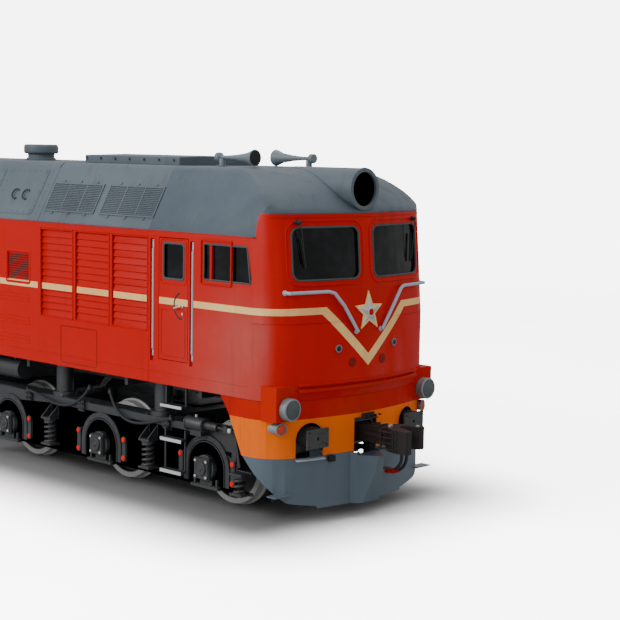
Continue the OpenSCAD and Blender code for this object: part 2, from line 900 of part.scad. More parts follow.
module control_desks() {
  on_rail() color(plough_grey) both_ends() along_y(-1150, 2300) polygon([
    [7180, floor_top], [7480, floor_top], [7480, 2700], [7400, 2740], [7050, 2560], [7050, 2500],
      [7180, 2470]]);
}

module driver_seats() {
  on_rail() color(black) both_ends() both_sides() translate([6520, 760, 0]) {
    translate([0, 0, floor_top]) cylinder(r = 150, h = 30, $fn = 32);
    translate([0, 0, floor_top]) cylinder(r = 45, h = 380, $fn = 32);
    box([-230, 230], [-230, 230], [floor_top + 370, floor_top + 480]);
    box([-290, -200], [-220, 220], [floor_top + 420, floor_top + 1050]);
  }
}

// ---------------------------------------------------------------- bogies, drawn about their own pivot

module side_plate_outline() {
  difference() {
    union() {
      translate([-frame_end, frame_low]) square([2 * frame_end, frame_top - frame_low]);
      for (x = [-1, 0, 1]) translate([x * axle_pitch, 0]) polygon(concat(
        [[-arch_half, arch_low], [arch_half, arch_low], [arch_half, arch_shoulder_z]],
        arc([0, axle_z], arch_outer, 30, 150, 14), [[-arch_half, arch_shoulder_z]]));
      for (x = [-1, 1]) {
        translate([x * spring_mid - 620, arch_low]) square([1240, 50]);
        translate([x * (spring_end - 60) - 260, 285]) square([440, 35]);
        translate([x * (spring_end - 60) - 260, end_spring_top]) square([440, 40]);
        translate([x * (spring_end - 190) - 40, 285]) square([80, 560]);
      }
    }
    for (x = [-1, 0, 1]) translate([x * axle_pitch, 0]) {
      translate([0, axle_z]) circle(r = arch_inner, $fn = 64);
      translate([-arch_inner, arch_low - 60]) square([2 * arch_inner, axle_z - arch_low + 60]);
    }
  }
}

// Spring places along a bogie's side: X, height of the lower seat, height of the upper seat, radius
spring_table = [
  [-spring_mid, spring_low, spring_top, spring_r],
  [spring_mid, spring_low, spring_top, spring_r],
  [-spring_end, end_spring_low, end_spring_top, spring_r - 12],
  [spring_end, end_spring_low, end_spring_top, spring_r - 12]
];

module bogie_frame() {
  both_sides() {
    box([-frame_end, frame_end], [frame_y, plate_y + 1], [frame_low, frame_top]);
    along_y(plate_y, plate_t) side_plate_outline();
    for (s = spring_table) {
      box([s[0] - 105, s[0] + 105], [plate_out - 1, spring_y + s[3]], [s[1] - 30, s[1]]);
      box([s[0] - 105, s[0] + 105], [plate_out - 1, spring_y + s[3]], [s[2], s[2] + 30]);
    }
    for (x = [-spring_mid, spring_mid], edge = [-90, 70]) translate([x + edge, 0, 0]) along_x(0, 20)
      polygon([[plate_out - 1, frame_top - 110], [plate_out - 1, spring_top + 10],
        [spring_y + spring_r, spring_top + 10],
        [spring_y + spring_r, spring_top + 40]]);
    // shackles between the upper and lower pins
    for (a = [-1, 0, 1], s = [-1, 1]) translate([a * axle_pitch + s * pin_half, plate_out - 1, 0])
      box([-38, 38], [0, 26], [360, 680]);
    for (x = [-1, 1]) translate([x * spring_mid, frame_y + 110, frame_top - 1]) {
      cylinder(r = 170, h = 60, $fn = 48);
      cylinder(r = bearer_r, h = sill_z - seat_gap - frame_top + 1, $fn = 48);
    }
  }
  for (s = [-1, 1]) {
    box(s > 0 ? [cross_x, cross_x + cross_w] : [-cross_x - cross_w, -cross_x],
      [-frame_y - 1, frame_y + 1], [cross_low, frame_top]);
    box(s > 0 ? [end_beam_x, end_beam_x + 100] : [-end_beam_x - 100, -end_beam_x], [-plate_y, plate_y],
      [frame_low, frame_top - 40]);
  }
  difference() {
    box([-cross_x - 5, cross_x + 5], [-300, 300], [900, 1060]);
    translate([0, 0, 800]) cylinder(r = pivot_d / 2 + seat_gap, h = 400, $fn = 64);
  }
}

module axle_boxes() {
  both_sides() for (a = [-1, 0, 1]) translate([a * axle_pitch, 0, axle_z]) difference() {
    union() {
      translate([0, box_in, 0]) rotate([-90, 0, 0]) cylinder(r = box_r, h = box_out - 40 - box_in,
        $fn = 64);
      box([-135, 135], [box_out - 60, box_out], [-135, 135]);
      translate([0, box_out - 5, 0]) rotate([-90, 0, 0]) cylinder(r = 95, h = 18, $fn = 48);
      box([-arch_inner + seat_gap, arch_inner - seat_gap], [plate_y + 5, plate_out - 5], [-60, 10]);
      box([-110, 110], [box_in + 40, box_out - 70], [-255, -100]);
      box([-250, 250], [plate_y - 20, plate_out + 60], [-255, -215]);
    }
    translate([0, 600, 0]) rotate([-90, 0, 0]) cylinder(r = journal_d / 2 + run_gap,
      h = journal_end + 6 - 600, $fn = 64);
  }
}

module coil(r, low, high, wire) {
  // stacked turns, drawn as one grooved barrel
  turns = floor((high - low - wire) / (wire * 1.5));
  pitch = (high - low - wire) / turns;
  rotate_extrude($fn = 40) polygon(concat([[0, low], [r - 8, low]],
    [for (i = [0 : turns]) each arc([r - wire / 2, low + wire / 2 + i * pitch], wire / 2, -70, 70, 4)],
    [[r - 8, high], [0, high]]));
}

module bogie_springs() {
  both_sides() for (s = spring_table) translate([s[0], spring_y, 0]) coil(s[3], s[1], s[2], 40);
}

module brake_gear() {
  tread = wheel_r + 8;
  shoe_y = back_to_back / 2 + tyre_w - 50;
  both_sides() {
    for (s = [[-1, 1], [0, 1], [1, -1]]) translate([s[0] * axle_pitch, 0, 0])
      mirror([s[1] > 0 ? 0 : 1, 0, 0]) {
      translate([0, shoe_y - 45, axle_z]) rotate([-90, 0, 0]) difference() {
        intersection() {
          cylinder(r = tread + 60, h = 85, $fn = 96);
          translate([tread - 80, -190, -5]) cube([200, 380, 100]);
        }
        translate([0, 0, -5]) cylinder(r = tread, h = 100, $fn = 96);
      }
      box([tread + 50, tread + 85], [shoe_y - 25, shoe_y + 25], [axle_z - 60, frame_low + 90]);
      box([tread + 50, tread + 85], [shoe_y + 20, frame_y], [frame_low + 40, frame_low + 90]);
    }
    // brake cylinder on the frame's outer face, its rod towards the bogie's outer end
    translate([1829, plate_out + 87, 1080]) rotate([0, 90, 0]) {
      cylinder(r = 85, h = 334, $fn = 48);
      translate([0, 0, 330]) cylinder(r = 48, h = 222, $fn = 32);
      translate([0, 0, 550]) cylinder(r = 22, h = 110, $fn = 24);
      translate([0, 0, 20]) cylinder(r = 87, h = 40, $fn = 48);
    }
    translate([2534, plate_out + 60, 1080]) rotate([-90, 0, 0]) cylinder(r = 48, h = 54, $fn = 32);
    box([1900, 2100], [plate_out, plate_out + 120], [930, 1010]);
  }
}

module traction_motors() {
  // X of the axle in pitches, and the side on which the motor hangs
  for (m = [[-1, 1], [0, 1], [1, -1]]) translate([m[0] * axle_pitch, 0, 0])
    mirror([m[1] > 0 ? 0 : 1, 0, 0]) difference() {
    union() {
      translate([motor_off, -motor_half, motor_z]) rotate([-90, 0, 0])
        cylinder(r = motor_r, h = 2 * motor_half, $fn = 64);
      for (y = [-420, 280]) box([-40, motor_off], [y, y + 140], [axle_z - 150, axle_z + 150]);
      box([motor_off + 150, cross_x], [-200, 200], [cross_low + 20, cross_low + 140]);
      // gear case on the axle
      translate([0, 470, axle_z]) rotate([-90, 0, 0]) cylinder(r = 330, h = 150, $fn = 64);
    }
    translate([0, -800, axle_z]) rotate([-90, 0, 0]) cylinder(r = axle_d / 2 + seat_gap, h = 1600,
      $fn = 64);
  }
}

// Hoses on the frame's outside: start, two handles of the curve, end
bogie_hose_table = [
  [[-1631, 1335, 1060], [-1250, 1345, 1050], [-700, 1345, 700], [-228, 1335, 1262]],
  [[208, 1335, 1262], [420, 1345, 760], [860, 1345, 900], [1440, 1335, 1068]]
];

module bogie_hoses() {
  both_sides() for (h = bogie_hose_table) {
    hose(curve(h[0], h[1], h[2], h[3], 16), 20, 8);
    for (end = [h[0], h[3]]) {
      box([end[0] - 30, end[0] + 30], [plate_out, end[1] - 12], [frame_top - 60, end[2] + 26]);
      box([end[0] - 30, end[0] + 30], [end[1] - 30, end[1] + 30], [end[2] + 22, end[2] + 48]);
    }
  }
}

module bogie_steps() {
  w = 400;
  x = door_x + 235 - pivot_x - w / 2;
  both_sides() {
    for (z = [824, 414]) box([x, x + w], [1375, half_w - 5], [z, z + 28]);
    for (end = [x, x + w - 24]) {
      box([end, end + 24], [1375, 1400], [414, 960]);
      box([end, end + 24], [plate_out - 1, 1380], [900, 940]);
    }
  }
}

module at_bogie(turn) {
  on_rail() rotate([0, 0, turn]) translate([pivot_x, 0, 0]) children();
}

module front_bogie_frame() {
  at_bogie(0) color(black) {
    bogie_frame();
    bogie_steps();
  }
}

module rear_bogie_frame() {
  at_bogie(180) color(black) {
    bogie_frame();
    bogie_steps();
  }
}

module front_axle_boxes() {
  at_bogie(0) color(black) axle_boxes();
}

module rear_axle_boxes() {
  at_bogie(180) color(black) axle_boxes();
}

module front_bogie_springs() {
  at_bogie(0) color(black) bogie_springs();
}

module rear_bogie_springs() {
  at_bogie(180) color(black) bogie_springs();
}

module front_brake_gear() {
  at_bogie(0) color(black) brake_gear();
}

module rear_brake_gear() {
  at_bogie(180) color(black) brake_gear();
}

module front_traction_motors() {
  at_bogie(0) color(black) traction_motors();
}

module rear_traction_motors() {
  at_bogie(180) color(black) traction_motors();
}

module front_bogie_hoses() {
  at_bogie(0) color(black) bogie_hoses();
}

module rear_bogie_hoses() {
  at_bogie(180) color(black) bogie_hoses();
}

module wheelset(x) {
  in = back_to_back / 2;
  out = in + tyre_w;
  half = [[0, 0], [axle_d / 2, 0], [axle_d / 2, in - 30], [150, in - 20], [160, in + 15],
    [wheel_r - 90, in + 40],
    [wheel_r - 70, in], [wheel_r + flange_h, in], [wheel_r + flange_h, in + 18], [wheel_r + 6, in + 34],
      [wheel_r, in + 50],
    [wheel_r - 4, out], [wheel_r - 75, out], [wheel_r - 90, in + 80], [160, in + 60], [150, out + 30],
      [axle_d / 2 - 5, out + 32],
    [axle_d / 2 - 5, box_in - 20], [journal_d / 2, box_in - 10], [journal_d / 2, journal_end],
      [0, journal_end]];
  on_rail() color(steel) translate([x, 0, axle_z]) both_sides() rotate([-90, 0, 0])
    rotate_extrude($fn = 96) polygon(half);
}

module wheelset_1() {
  wheelset(pivot_x + axle_pitch);
}

module wheelset_2() {
  wheelset(pivot_x);
}

module wheelset_3() {
  wheelset(pivot_x - axle_pitch);
}

module wheelset_4() {
  wheelset(-pivot_x + axle_pitch);
}

module wheelset_5() {
  wheelset(-pivot_x);
}

module wheelset_6() {
  wheelset(-pivot_x - axle_pitch);
}

main_frame();
front_cab_shell();
rear_cab_shell();
right_side_wall();
left_side_wall();
front_roof_section();
middle_roof_section();
rear_roof_section();
side_louvres();
roof_intake_box();
roof_breather();
fan_guard();
radiator_fan();
horns();
headlights();
windscreens();
cab_side_windows();
front_right_door();
front_left_door();
rear_right_door();
rear_left_door();
front_right_door_glass();
front_left_door_glass();
rear_right_door_glass();
rear_left_door_glass();
side_handrails();
nose_handrails();
corner_lamps();
front_apron();
rear_apron();
front_plough();
rear_plough();
buffer_pads();
front_coupler();
rear_coupler();
brake_hoses();
door_steps();
fuel_tank();
air_reservoirs();
engine_block();
control_desks();
driver_seats();
front_bogie_frame();
rear_bogie_frame();
front_axle_boxes();
rear_axle_boxes();
front_bogie_springs();
rear_bogie_springs();
front_brake_gear();
rear_brake_gear();
front_traction_motors();
rear_traction_motors();
front_bogie_hoses();
rear_bogie_hoses();
wheelset_1();
wheelset_2();
wheelset_3();
wheelset_4();
wheelset_5();
wheelset_6();
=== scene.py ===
import json
import math
import bpy
import bmesh
import numpy as np
from mathutils import Matrix, Vector

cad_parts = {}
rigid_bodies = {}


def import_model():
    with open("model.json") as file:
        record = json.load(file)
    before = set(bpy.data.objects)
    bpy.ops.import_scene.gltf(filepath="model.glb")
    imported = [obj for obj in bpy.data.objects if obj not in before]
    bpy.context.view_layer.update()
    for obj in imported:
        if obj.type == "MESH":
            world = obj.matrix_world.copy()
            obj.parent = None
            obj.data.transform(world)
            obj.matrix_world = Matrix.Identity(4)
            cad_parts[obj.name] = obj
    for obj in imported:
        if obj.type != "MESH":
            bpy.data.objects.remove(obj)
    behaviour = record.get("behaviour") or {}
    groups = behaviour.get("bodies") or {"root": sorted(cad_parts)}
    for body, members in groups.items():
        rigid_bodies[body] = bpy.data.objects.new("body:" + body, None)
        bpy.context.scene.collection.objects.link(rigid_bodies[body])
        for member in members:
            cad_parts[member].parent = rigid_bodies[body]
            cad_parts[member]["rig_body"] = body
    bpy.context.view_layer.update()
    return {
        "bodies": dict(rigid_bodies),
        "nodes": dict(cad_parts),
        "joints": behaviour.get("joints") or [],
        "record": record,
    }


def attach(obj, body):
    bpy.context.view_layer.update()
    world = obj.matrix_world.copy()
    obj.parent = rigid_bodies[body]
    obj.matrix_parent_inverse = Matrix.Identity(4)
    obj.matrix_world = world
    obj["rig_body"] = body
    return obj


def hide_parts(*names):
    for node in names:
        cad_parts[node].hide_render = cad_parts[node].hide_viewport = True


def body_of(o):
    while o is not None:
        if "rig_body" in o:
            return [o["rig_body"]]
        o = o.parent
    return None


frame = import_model()
nodes = frame["nodes"]
railTop = 0.028  # the flanges stand on the ground, so the rail top is this high
print("frame loaded:", len(nodes), "nodes")

cameraView = {"place": (20.2592, -14.0447, 4.5890), "azimuth": 43.579, "elevation": 6.15, "roll": 0.952,
    "lens": 88.35}


def makeCamera(view):
    # back points from the engine to the camera; right and up are square to it and turned by the roll
    azimuth, elevation, roll = (math.radians(view[key]) for key in ("azimuth", "elevation", "roll"))
    back = Vector((math.sin(azimuth) * math.cos(elevation), -math.cos(azimuth) * math.cos(elevation),
        math.sin(elevation)))
    level = Vector((math.cos(azimuth), math.sin(azimuth), 0))
    lifted = level.cross(-back)
    right = level * math.cos(roll) + lifted * math.sin(roll)
    up = lifted * math.cos(roll) - level * math.sin(roll)
    data = bpy.data.cameras.new("viewCamera")
    data.lens, data.sensor_width, data.clip_end = view["lens"], 36, 500
    camera = bpy.data.objects.new("viewCamera", data)
    bpy.context.scene.collection.objects.link(camera)
    turn = Matrix((right, up, back)).transposed().to_4x4()
    camera.matrix_world = Matrix.Translation(view["place"]) @ turn
    bpy.context.scene.camera = camera


makeCamera(cameraView)


def colourOf(code):
    # sRGB hex code to the linear values that the shaders use
    value = np.array([int(code[place:place + 2], 16) for place in (1, 3, 5)]) / 255
    linear = np.where(value <= 0.04045, value / 12.92, ((value + 0.055) / 1.055) ** 2.4)
    return (*linear.tolist(), 1.0)


def newFinish(name):
    material = bpy.data.materials.new(name)
    material.use_nodes = True
    tree = material.node_tree
    tree.nodes.clear()
    out = tree.nodes.new("ShaderNodeOutputMaterial")
    shader = tree.nodes.new("ShaderNodeBsdfPrincipled")
    tree.links.new(shader.outputs[0], out.inputs[0])
    place = tree.nodes.new("ShaderNodeTexCoord").outputs["Object"]
    return material, tree, shader, place


def put(tree, socket, value):
    # a link, a number or a colour code
    if isinstance(value, str):
        value = colourOf(value)
    if isinstance(value, bpy.types.NodeSocket):
        tree.links.new(value, socket)
    else:
        socket.default_value = value


def calc(tree, operation, first, second=0.0, third=0.0):
    node = tree.nodes.new("ShaderNodeMath")
    node.operation = operation
    for socket, value in zip(node.inputs, (first, second, third)):
        put(tree, socket, value)
    return node.outputs[0]


def times(tree, first, second):
    return calc(tree, "MULTIPLY", first, second)


def farFrom(tree, first, second):
    # length of the hypotenuse over two sides
    return calc(tree, "SQRT", calc(tree, "ADD", times(tree, first, first), times(tree, second, second)))


def parts(tree, vector):
    node = tree.nodes.new("ShaderNodeSeparateXYZ")
    put(tree, node.inputs[0], vector)
    return node.outputs[0], node.outputs[1], node.outputs[2]


def spread(tree, value, low, high, start=0.0, end=1.0, smooth=True):
    # value from low to high becomes start to end, held outside
    node = tree.nodes.new("ShaderNodeMapRange")
    node.interpolation_type = "SMOOTHSTEP" if smooth else "LINEAR"
    for socket, number in zip(node.inputs, (value, low, high, start, end)):
        put(tree, socket, number)
    return node.outputs[0]


def cloud(tree, place, scale, detail=4.0, rough=0.55, stretch=(1, 1, 1), warp=0.0):
    mapping = tree.nodes.new("ShaderNodeMapping")
    put(tree, mapping.inputs["Vector"], place)
    mapping.inputs["Scale"].default_value = stretch
    node = tree.nodes.new("ShaderNodeTexNoise")
    tree.links.new(mapping.outputs[0], node.inputs["Vector"])
    for key, value in (("Scale", scale), ("Detail", detail), ("Roughness", rough), ("Distortion", warp)):
        node.inputs[key].default_value = value
    return node.outputs["Fac"]


def blendColour(tree, amount, first, second, mode="MIX"):
    node = tree.nodes.new("ShaderNodeMix")
    node.data_type, node.blend_type = "RGBA", mode
    put(tree, node.inputs[0], amount)
    put(tree, node.inputs[6], first)
    put(tree, node.inputs[7], second)
    return node.outputs[2]


def bumpOn(tree, shader, layers):
    # layers of (height, distance in metres), each laid on the one before
    normal = None
    for height, distance in layers:
        node = tree.nodes.new("ShaderNodeBump")
        node.inputs["Strength"].default_value = 1.0
        node.inputs["Distance"].default_value = distance
        put(tree, node.inputs["Height"], height)
        if normal is not None:
            tree.links.new(normal, node.inputs["Normal"])
        normal = node.outputs[0]
    tree.links.new(normal, shader.inputs["Normal"])


def weather(tree, shader, place, colour, look):
    # cloudy fading, runs of grime that fall down the plates, dust near the ground, chips, and uneven gloss
    height = parts(tree, place)[2]
    fade = cloud(tree, place, look["fadeScale"], 5, 0.6)
    colour = blendColour(tree, spread(tree, fade, 0.3, 0.72, 0, look["fade"]), colour, look["fadeColour"])
    runs = cloud(tree, place, look["runScale"], 5, 0.65, (1, 1, 0.07), 0.3)
    runs = times(tree, spread(tree, runs, 0.5, 0.74), spread(tree, cloud(tree, place, 0.9, 3), 0.35, 0.65))
    colour = blendColour(tree, times(tree, runs, look["runs"]), colour, look["grime"])
    low = spread(tree, height, look["dustTop"], look["dustFoot"])
    dust = times(tree, low, spread(tree, cloud(tree, place, 3.5, 6, 0.7), 0.25, 0.75, 0.25, 1))
    colour = blendColour(tree, times(tree, dust, look["dust"]), colour, look["dustColour"])
    chips = spread(tree, cloud(tree, place, look["chipScale"], 3, 0.7), 0.70, 0.74)
    colour = blendColour(tree, times(tree, chips, look["chips"]), colour, look["chipColour"])
    put(tree, shader.inputs["Base Color"], colour)
    shader.inputs["Specular IOR Level"].default_value = look["specular"]
    gloss = calc(tree, "ADD", times(tree, fade, look["uneven"]), look["rough"])
    gloss = calc(tree, "ADD", gloss, times(tree, calc(tree, "ADD", runs, dust), 0.12))
    put(tree, shader.inputs["Roughness"], gloss)
    waves = cloud(tree, place, look["waveScale"], 2, 0.4, (1, 1, 0.8))
    grain = cloud(tree, place, look["grainScale"], 3, 0.6)
    bumpOn(tree, shader, [(waves, look["wave"]), (grain, look["grain"]), (chips, -look["grain"])])


plainLook = {"specular": 0.35, "fadeScale": 0.8, "fade": 0.25, "fadeColour": "#8A8078", "runScale": 5.0,
    "runs": 0.35, "grime": "#3A2A22", "dustTop": 2.2, "dustFoot": 1.0, "dust": 0.25, "dustColour": "#8A7A66",
    "chipScale": 22, "chips": 0.5, "chipColour": "#2A211D", "rough": 0.3, "uneven": 0.2, "waveScale": 1.6,
    "wave": 0.012, "grainScale": 220, "grain": 0.0006}
# the cab-side colour below is a pale pink painted sheen, not a fade of the paint
colours = {"red": "#B80600", "redFade": "#BE0E02", "roof": "#4C565F", "roofFade": "#6A757E", "cream": "#F4CE86",
    "orange": "#F46C00", "paintedSheen": "#B4544C"}
# stretches of the body where the cream band is left out
bandGaps = ((3.095, 3.180), (3.852, 3.955), (4.627, 4.730), (5.402, 5.655), (6.195, 6.300))


def bodyFinish():
    # red plates, a grey roof above the eave, and a cream band that turns into a V on the nose
    material, tree, shader, place = newFinish("bodyPaint")
    along, across, height = parts(tree, place)
    reach, side = calc(tree, "ABSOLUTE", along), calc(tree, "ABSOLUTE", across)
    above = calc(tree, "SUBTRACT", height, railTop)
    eave = spread(tree, reach, 7.364, 7.381, 3.475, 3.752, False)
    roof = calc(tree, "GREATER_THAN", above, eave)
    lower = calc(tree, "MINIMUM", calc(tree, "MULTIPLY_ADD", side, 0.889, 1.874), 2.549)
    upper = calc(tree, "MINIMUM", calc(tree, "MULTIPLY_ADD", side, 0.886, 2.022), 2.633)
    band = times(tree, calc(tree, "GREATER_THAN", above, lower), calc(tree, "LESS_THAN", above, upper))
    for left, right in bandGaps:
        inside = times(tree, calc(tree, "GREATER_THAN", reach, left), calc(tree, "LESS_THAN", reach, right))
        band = times(tree, band, calc(tree, "SUBTRACT", 1.0, inside))
    colour = blendColour(tree, band, colours["red"], colours["cream"])
    colour = blendColour(tree, roof, colour, colours["roof"])
    fadeTo = blendColour(tree, roof, colours["redFade"], colours["roofFade"])
    # painted sheen on the cab sides: a pale pink veil in place of a soft reflection, from the middle wall
    # outwards and weaker near the roof
    paintedSheen = times(tree, spread(tree, side, 1.33, 1.45), spread(tree, reach, 5.3, 7.3))
    paintedSheen = times(tree, paintedSheen, spread(tree, above, 2.2, 3.1, 1.0, 0.25))
    paintedSheen = times(tree, paintedSheen, spread(tree, cloud(tree, place, 0.9, 4), 0.25, 0.65, 0.45, 0.85))
    paintedSheen = times(tree, paintedSheen, calc(tree, "SUBTRACT", 1.0, calc(tree, "MAXIMUM", roof, band)))
    colour = blendColour(tree, paintedSheen, colour, colours["paintedSheen"])
    weather(tree, shader, place, colour, {**plainLook, "fadeColour": fadeTo, "fade": 0.35, "runs": 0.22,
        "dust": 0.07, "wave": 0.016, "specular": 0.11, "rough": 0.3})
    return material


orangeTop = 1.288  # above the rail


def apronFinish():
    # red above the line, orange below
    material, tree, shader, place = newFinish("apronPaint")
    height = parts(tree, place)[2]
    orange = calc(tree, "LESS_THAN", height, orangeTop + railTop)
    colour = blendColour(tree, orange, colours["red"], colours["orange"])
    weather(tree, shader, place, colour, {**plainLook, "fadeColour": "#C8560A", "fade": 0.15, "dust": 0.1,
        "dustTop": 1.5, "dustFoot": 0.7, "specular": 0.07})
    return material


def paintFinish(name, code, **changes):
    material, tree, shader, place = newFinish(name)
    weather(tree, shader, place, code, {**plainLook, **changes})
    if "metal" in changes:
        shader.inputs["Metallic"].default_value = changes["metal"]
    return material


axles = {"bogie": 2.2, "half": 1.05, "high": 0.525, "rimStart": 0.445, "rimFull": 0.46}


def wheelFinish():
    # dark oily discs with the rim and tread rubbed bright, by the distance from the nearest axle line
    material, tree, shader, place = newFinish("wheelSteel")
    along, _, height = parts(tree, place)
    near = calc(tree, "WRAP", calc(tree, "SUBTRACT", calc(tree, "ABSOLUTE", along), axles["bogie"]),
        axles["half"], -axles["half"])
    rise = calc(tree, "SUBTRACT", height, axles["high"] + railTop)
    far = farFrom(tree, near, rise)
    rim = spread(tree, far, axles["rimStart"], axles["rimFull"])
    colour = blendColour(tree, rim, "#202224", "#B9BABA")
    weather(tree, shader, place, colour, {**plainLook, "fadeColour": "#6A6664", "fade": 0.2, "dust": 0.1,
        "runs": 0.1, "rough": 0.4, "wave": 0.001})
    put(tree, shader.inputs["Metallic"], times(tree, rim, 0.25))
    return material


def glassFinish(name, tint, clear=0.75):
    # smoked glass: mostly see-through grey with a clean reflection, and a little dust
    material, tree, shader, place = newFinish(name)
    dust = spread(tree, cloud(tree, place, 2.4, 5, 0.65), 0.35, 0.8)
    put(tree, shader.inputs["Base Color"], blendColour(tree, times(tree, dust, 0.35), tint, "#3B3F40"))
    put(tree, shader.inputs["Roughness"], spread(tree, dust, 0, 1, 0.03, 0.16))
    shader.inputs["Specular IOR Level"].default_value = 0.22
    seeThrough = tree.nodes.new("ShaderNodeBsdfTransparent")
    seeThrough.inputs[0].default_value = colourOf(tint)
    mix = tree.nodes.new("ShaderNodeMixShader")
    put(tree, mix.inputs[0], spread(tree, dust, 0, 1, clear, clear * 0.7))
    tree.links.new(shader.outputs[0], mix.inputs[1])
    tree.links.new(seeThrough.outputs[0], mix.inputs[2])
    out = next(node for node in tree.nodes if node.type == "OUTPUT_MATERIAL")
    tree.links.new(mix.outputs[0], out.inputs[0])
    return material


finishes = {
    "body": bodyFinish(),
    "apron": apronFinish(),
    "roof": paintFinish("roofPaint", colours["roof"], fadeColour=colours["roofFade"], fade=0.35, dust=0.0,
        rough=0.42, runs=0.3, wave=0.01),
    "rail": paintFinish("railGrey", "#9FB0BD", fadeColour="#7B8890", wave=0.0005, rough=0.35),
    "fitting": paintFinish("fittingGrey", "#6A747C", fadeColour="#8B949B", wave=0.002),
    "plough": paintFinish("ploughPaint", "#4C5C68", fadeColour="#687784", dust=0.12, dustTop=0.9, dustFoot=0.1,
        dustColour="#6A6F72", runs=0.15, rough=0.3, specular=0.5, wave=0.006),
    "gear": paintFinish("runningGearBlack", "#1E2124", fadeColour="#34393E", fade=0.5, dust=0.16, dustTop=1.2,
        dustFoot=0.1, dustColour="#4E4B48", runs=0.25, rough=0.34, specular=0.6, wave=0.002, grain=0.0009,
        chipScale=30),
    "coupler": paintFinish("couplerIron", "#141415", fadeColour="#2E2221", fade=0.6, dust=0.06,
        dustColour="#4A3A34", rough=0.42, specular=0.5, wave=0.003, grainScale=120, grain=0.0016, metal=0.3),
    "steel": paintFinish("bareSteel", "#9A9893", fadeColour="#6E675F", rough=0.28, wave=0.0005, metal=0.85),
    "rubber": paintFinish("hoseRubber", "#1D1F21", fadeColour="#33373A", rough=0.5, wave=0.0008, chips=0.0,
        dust=0.1, dustColour="#55585A"),
    "cable": paintFinish("cableGrey", "#3E4448", fadeColour="#5A6268", rough=0.45, wave=0.0006, chips=0.1,
        dust=0.1, dustColour="#55585A"),
    "pad": paintFinish("padGrey", "#30353A", fadeColour="#454B50", rough=0.45, wave=0.001, dust=0.1),
    "lampRim": paintFinish("lampRim", "#868F94", fadeColour="#5E676C", rough=0.3, wave=0.0006, metal=0.35,
        dust=0.1),
    "seal": paintFinish("windowSeal", "#3C4649", fadeColour="#566063", rough=0.55, wave=0.0006, chips=0.0,
        dust=0.0),
    "wheel": wheelFinish(),
    "glass": glassFinish("smokedGlass", "#0B0D0F", 0.30),
    "engine": paintFinish("enginePaint", "#4D6A58", fadeColour="#38483E", rough=0.45),
    "desk": paintFinish("deskPaint", "#5A615C", rough=0.5, wave=0.0005, dust=0.0),
    "leather": paintFinish("seatLeather", "#2B201A", rough=0.5, wave=0.006, grainScale=160, grain=0.0016,
        dust=0.0, chips=0.0),
    "dark": paintFinish("darkInside", "#0C0D0E", rough=0.7, wave=0.001, dust=0.0, chips=0.0),
    "cream": paintFinish("creamPaint", colours["cream"], fadeColour="#B9996A", dust=0.0, wave=0.001),
    "silver": paintFinish("silverPaint", "#C9C7C2", fadeColour="#8F8C86", dust=0.0, wave=0.0006, metal=0.6,
        rough=0.3),
    "redPlain": paintFinish("redPaint", colours["red"], fadeColour=colours["redFade"], wave=0.002,
        specular=0.11, dust=0.1),
    "fadedRed": paintFinish("fadedRedPaint", "#7A0C06", fadeColour="#96180C", fade=0.5, wave=0.002,
        specular=0.11),
    "pinRed": paintFinish("pinRed", "#E01408", fadeColour="#B81408", wave=0.0003, dust=0.05, runs=0.1,
        specular=0.15),
    "stepPale": paintFinish("stepPale", "#C9CDD0", fadeColour="#8A9096", wave=0.0004),
    "markerRed": paintFinish("markerRed", "#C23410", fadeColour="#8E2408", rough=0.12, wave=0.0005, dust=0.05),
    "lampInside": paintFinish("lampInside", "#6C777C", fadeColour="#3E474B", rough=0.22, metal=0.7, dust=0.0,
        wave=0.0004),
    "lampGlass": glassFinish("lampGlass", "#8C989C", 0.7),
    "grilleShade": paintFinish("grilleShade", "#2C343A", fadeColour="#39424A", rough=0.6, dust=0.0, wave=0.001),
    # near-black for real black fittings, and also for the discs and strips that stand as painted shade in
    # holes, slots, grooves, notches and horn mouths
    "shade": paintFinish("blackFittingAndShade", "#15171A", fadeColour="#2B2E31", rough=0.5, dust=0.0, wave=0.001),
}
print("finishes made:", len(finishes))

nodesIn = {
    "gear": "main_frame door_steps fuel_tank air_reservoirs",
    "body": "front_cab_shell rear_cab_shell right_side_wall left_side_wall side_louvres",
    "roof": "front_roof_section middle_roof_section rear_roof_section roof_intake_box roof_breather fan_guard headlights",
    "fitting": "radiator_fan horns",
    "glass": "windscreens cab_side_windows",
    "rail": "side_handrails nose_handrails",
    "lampRim": "corner_lamps",
    "apron": "front_apron rear_apron",
    "plough": "front_plough rear_plough",
    "pad": "buffer_pads",
    "coupler": "front_coupler rear_coupler",
    "rubber": "brake_hoses",
    "engine": "engine_block",
    "desk": "control_desks",
    "leather": "driver_seats",
}
endNodesIn = {
    "body": "right_door left_door",
    "glass": "right_door_glass left_door_glass",
    "gear": "bogie_frame axle_boxes bogie_springs brake_gear traction_motors",
    "cable": "bogie_hoses",
}
nodeFinish = {node: key for key, names in nodesIn.items() for node in names.split()}
for key, names in endNodesIn.items():
    nodeFinish.update({f"{end}_{node}": key for end in ("front", "rear") for node in names.split()})
nodeFinish.update({f"wheelset_{count}": "wheel" for count in range(1, 7)})
for name, key in nodeFinish.items():
    mesh = nodes[name].data
    mesh.materials.clear()
    mesh.materials.append(finishes[key])
print("finishes on the frame:", len(nodeFinish), "of", len(nodes))


def joined(shapes):
    # shapes of (points, faces) put one after another
    points, faces, start = [], [], 0
    for corners, polygons in shapes:
        points.append(np.asarray(corners, float))
        faces += [[index + start for index in polygon] for polygon in polygons]
        start += len(corners)
    return np.concatenate(points), faces


def copied(shape, turns):
    # the same shape, or list of shapes, under several 3 x 3 turns or mirrors
    if isinstance(shape, list):
        shape = joined(shape)
    return joined([(shape[0] @ np.asarray(turn, float).T, shape[1]) for turn in turns])


def moved(shape, steps):
    return joined([(shape[0] + np.asarray(step, float), shape[1]) for step in steps])


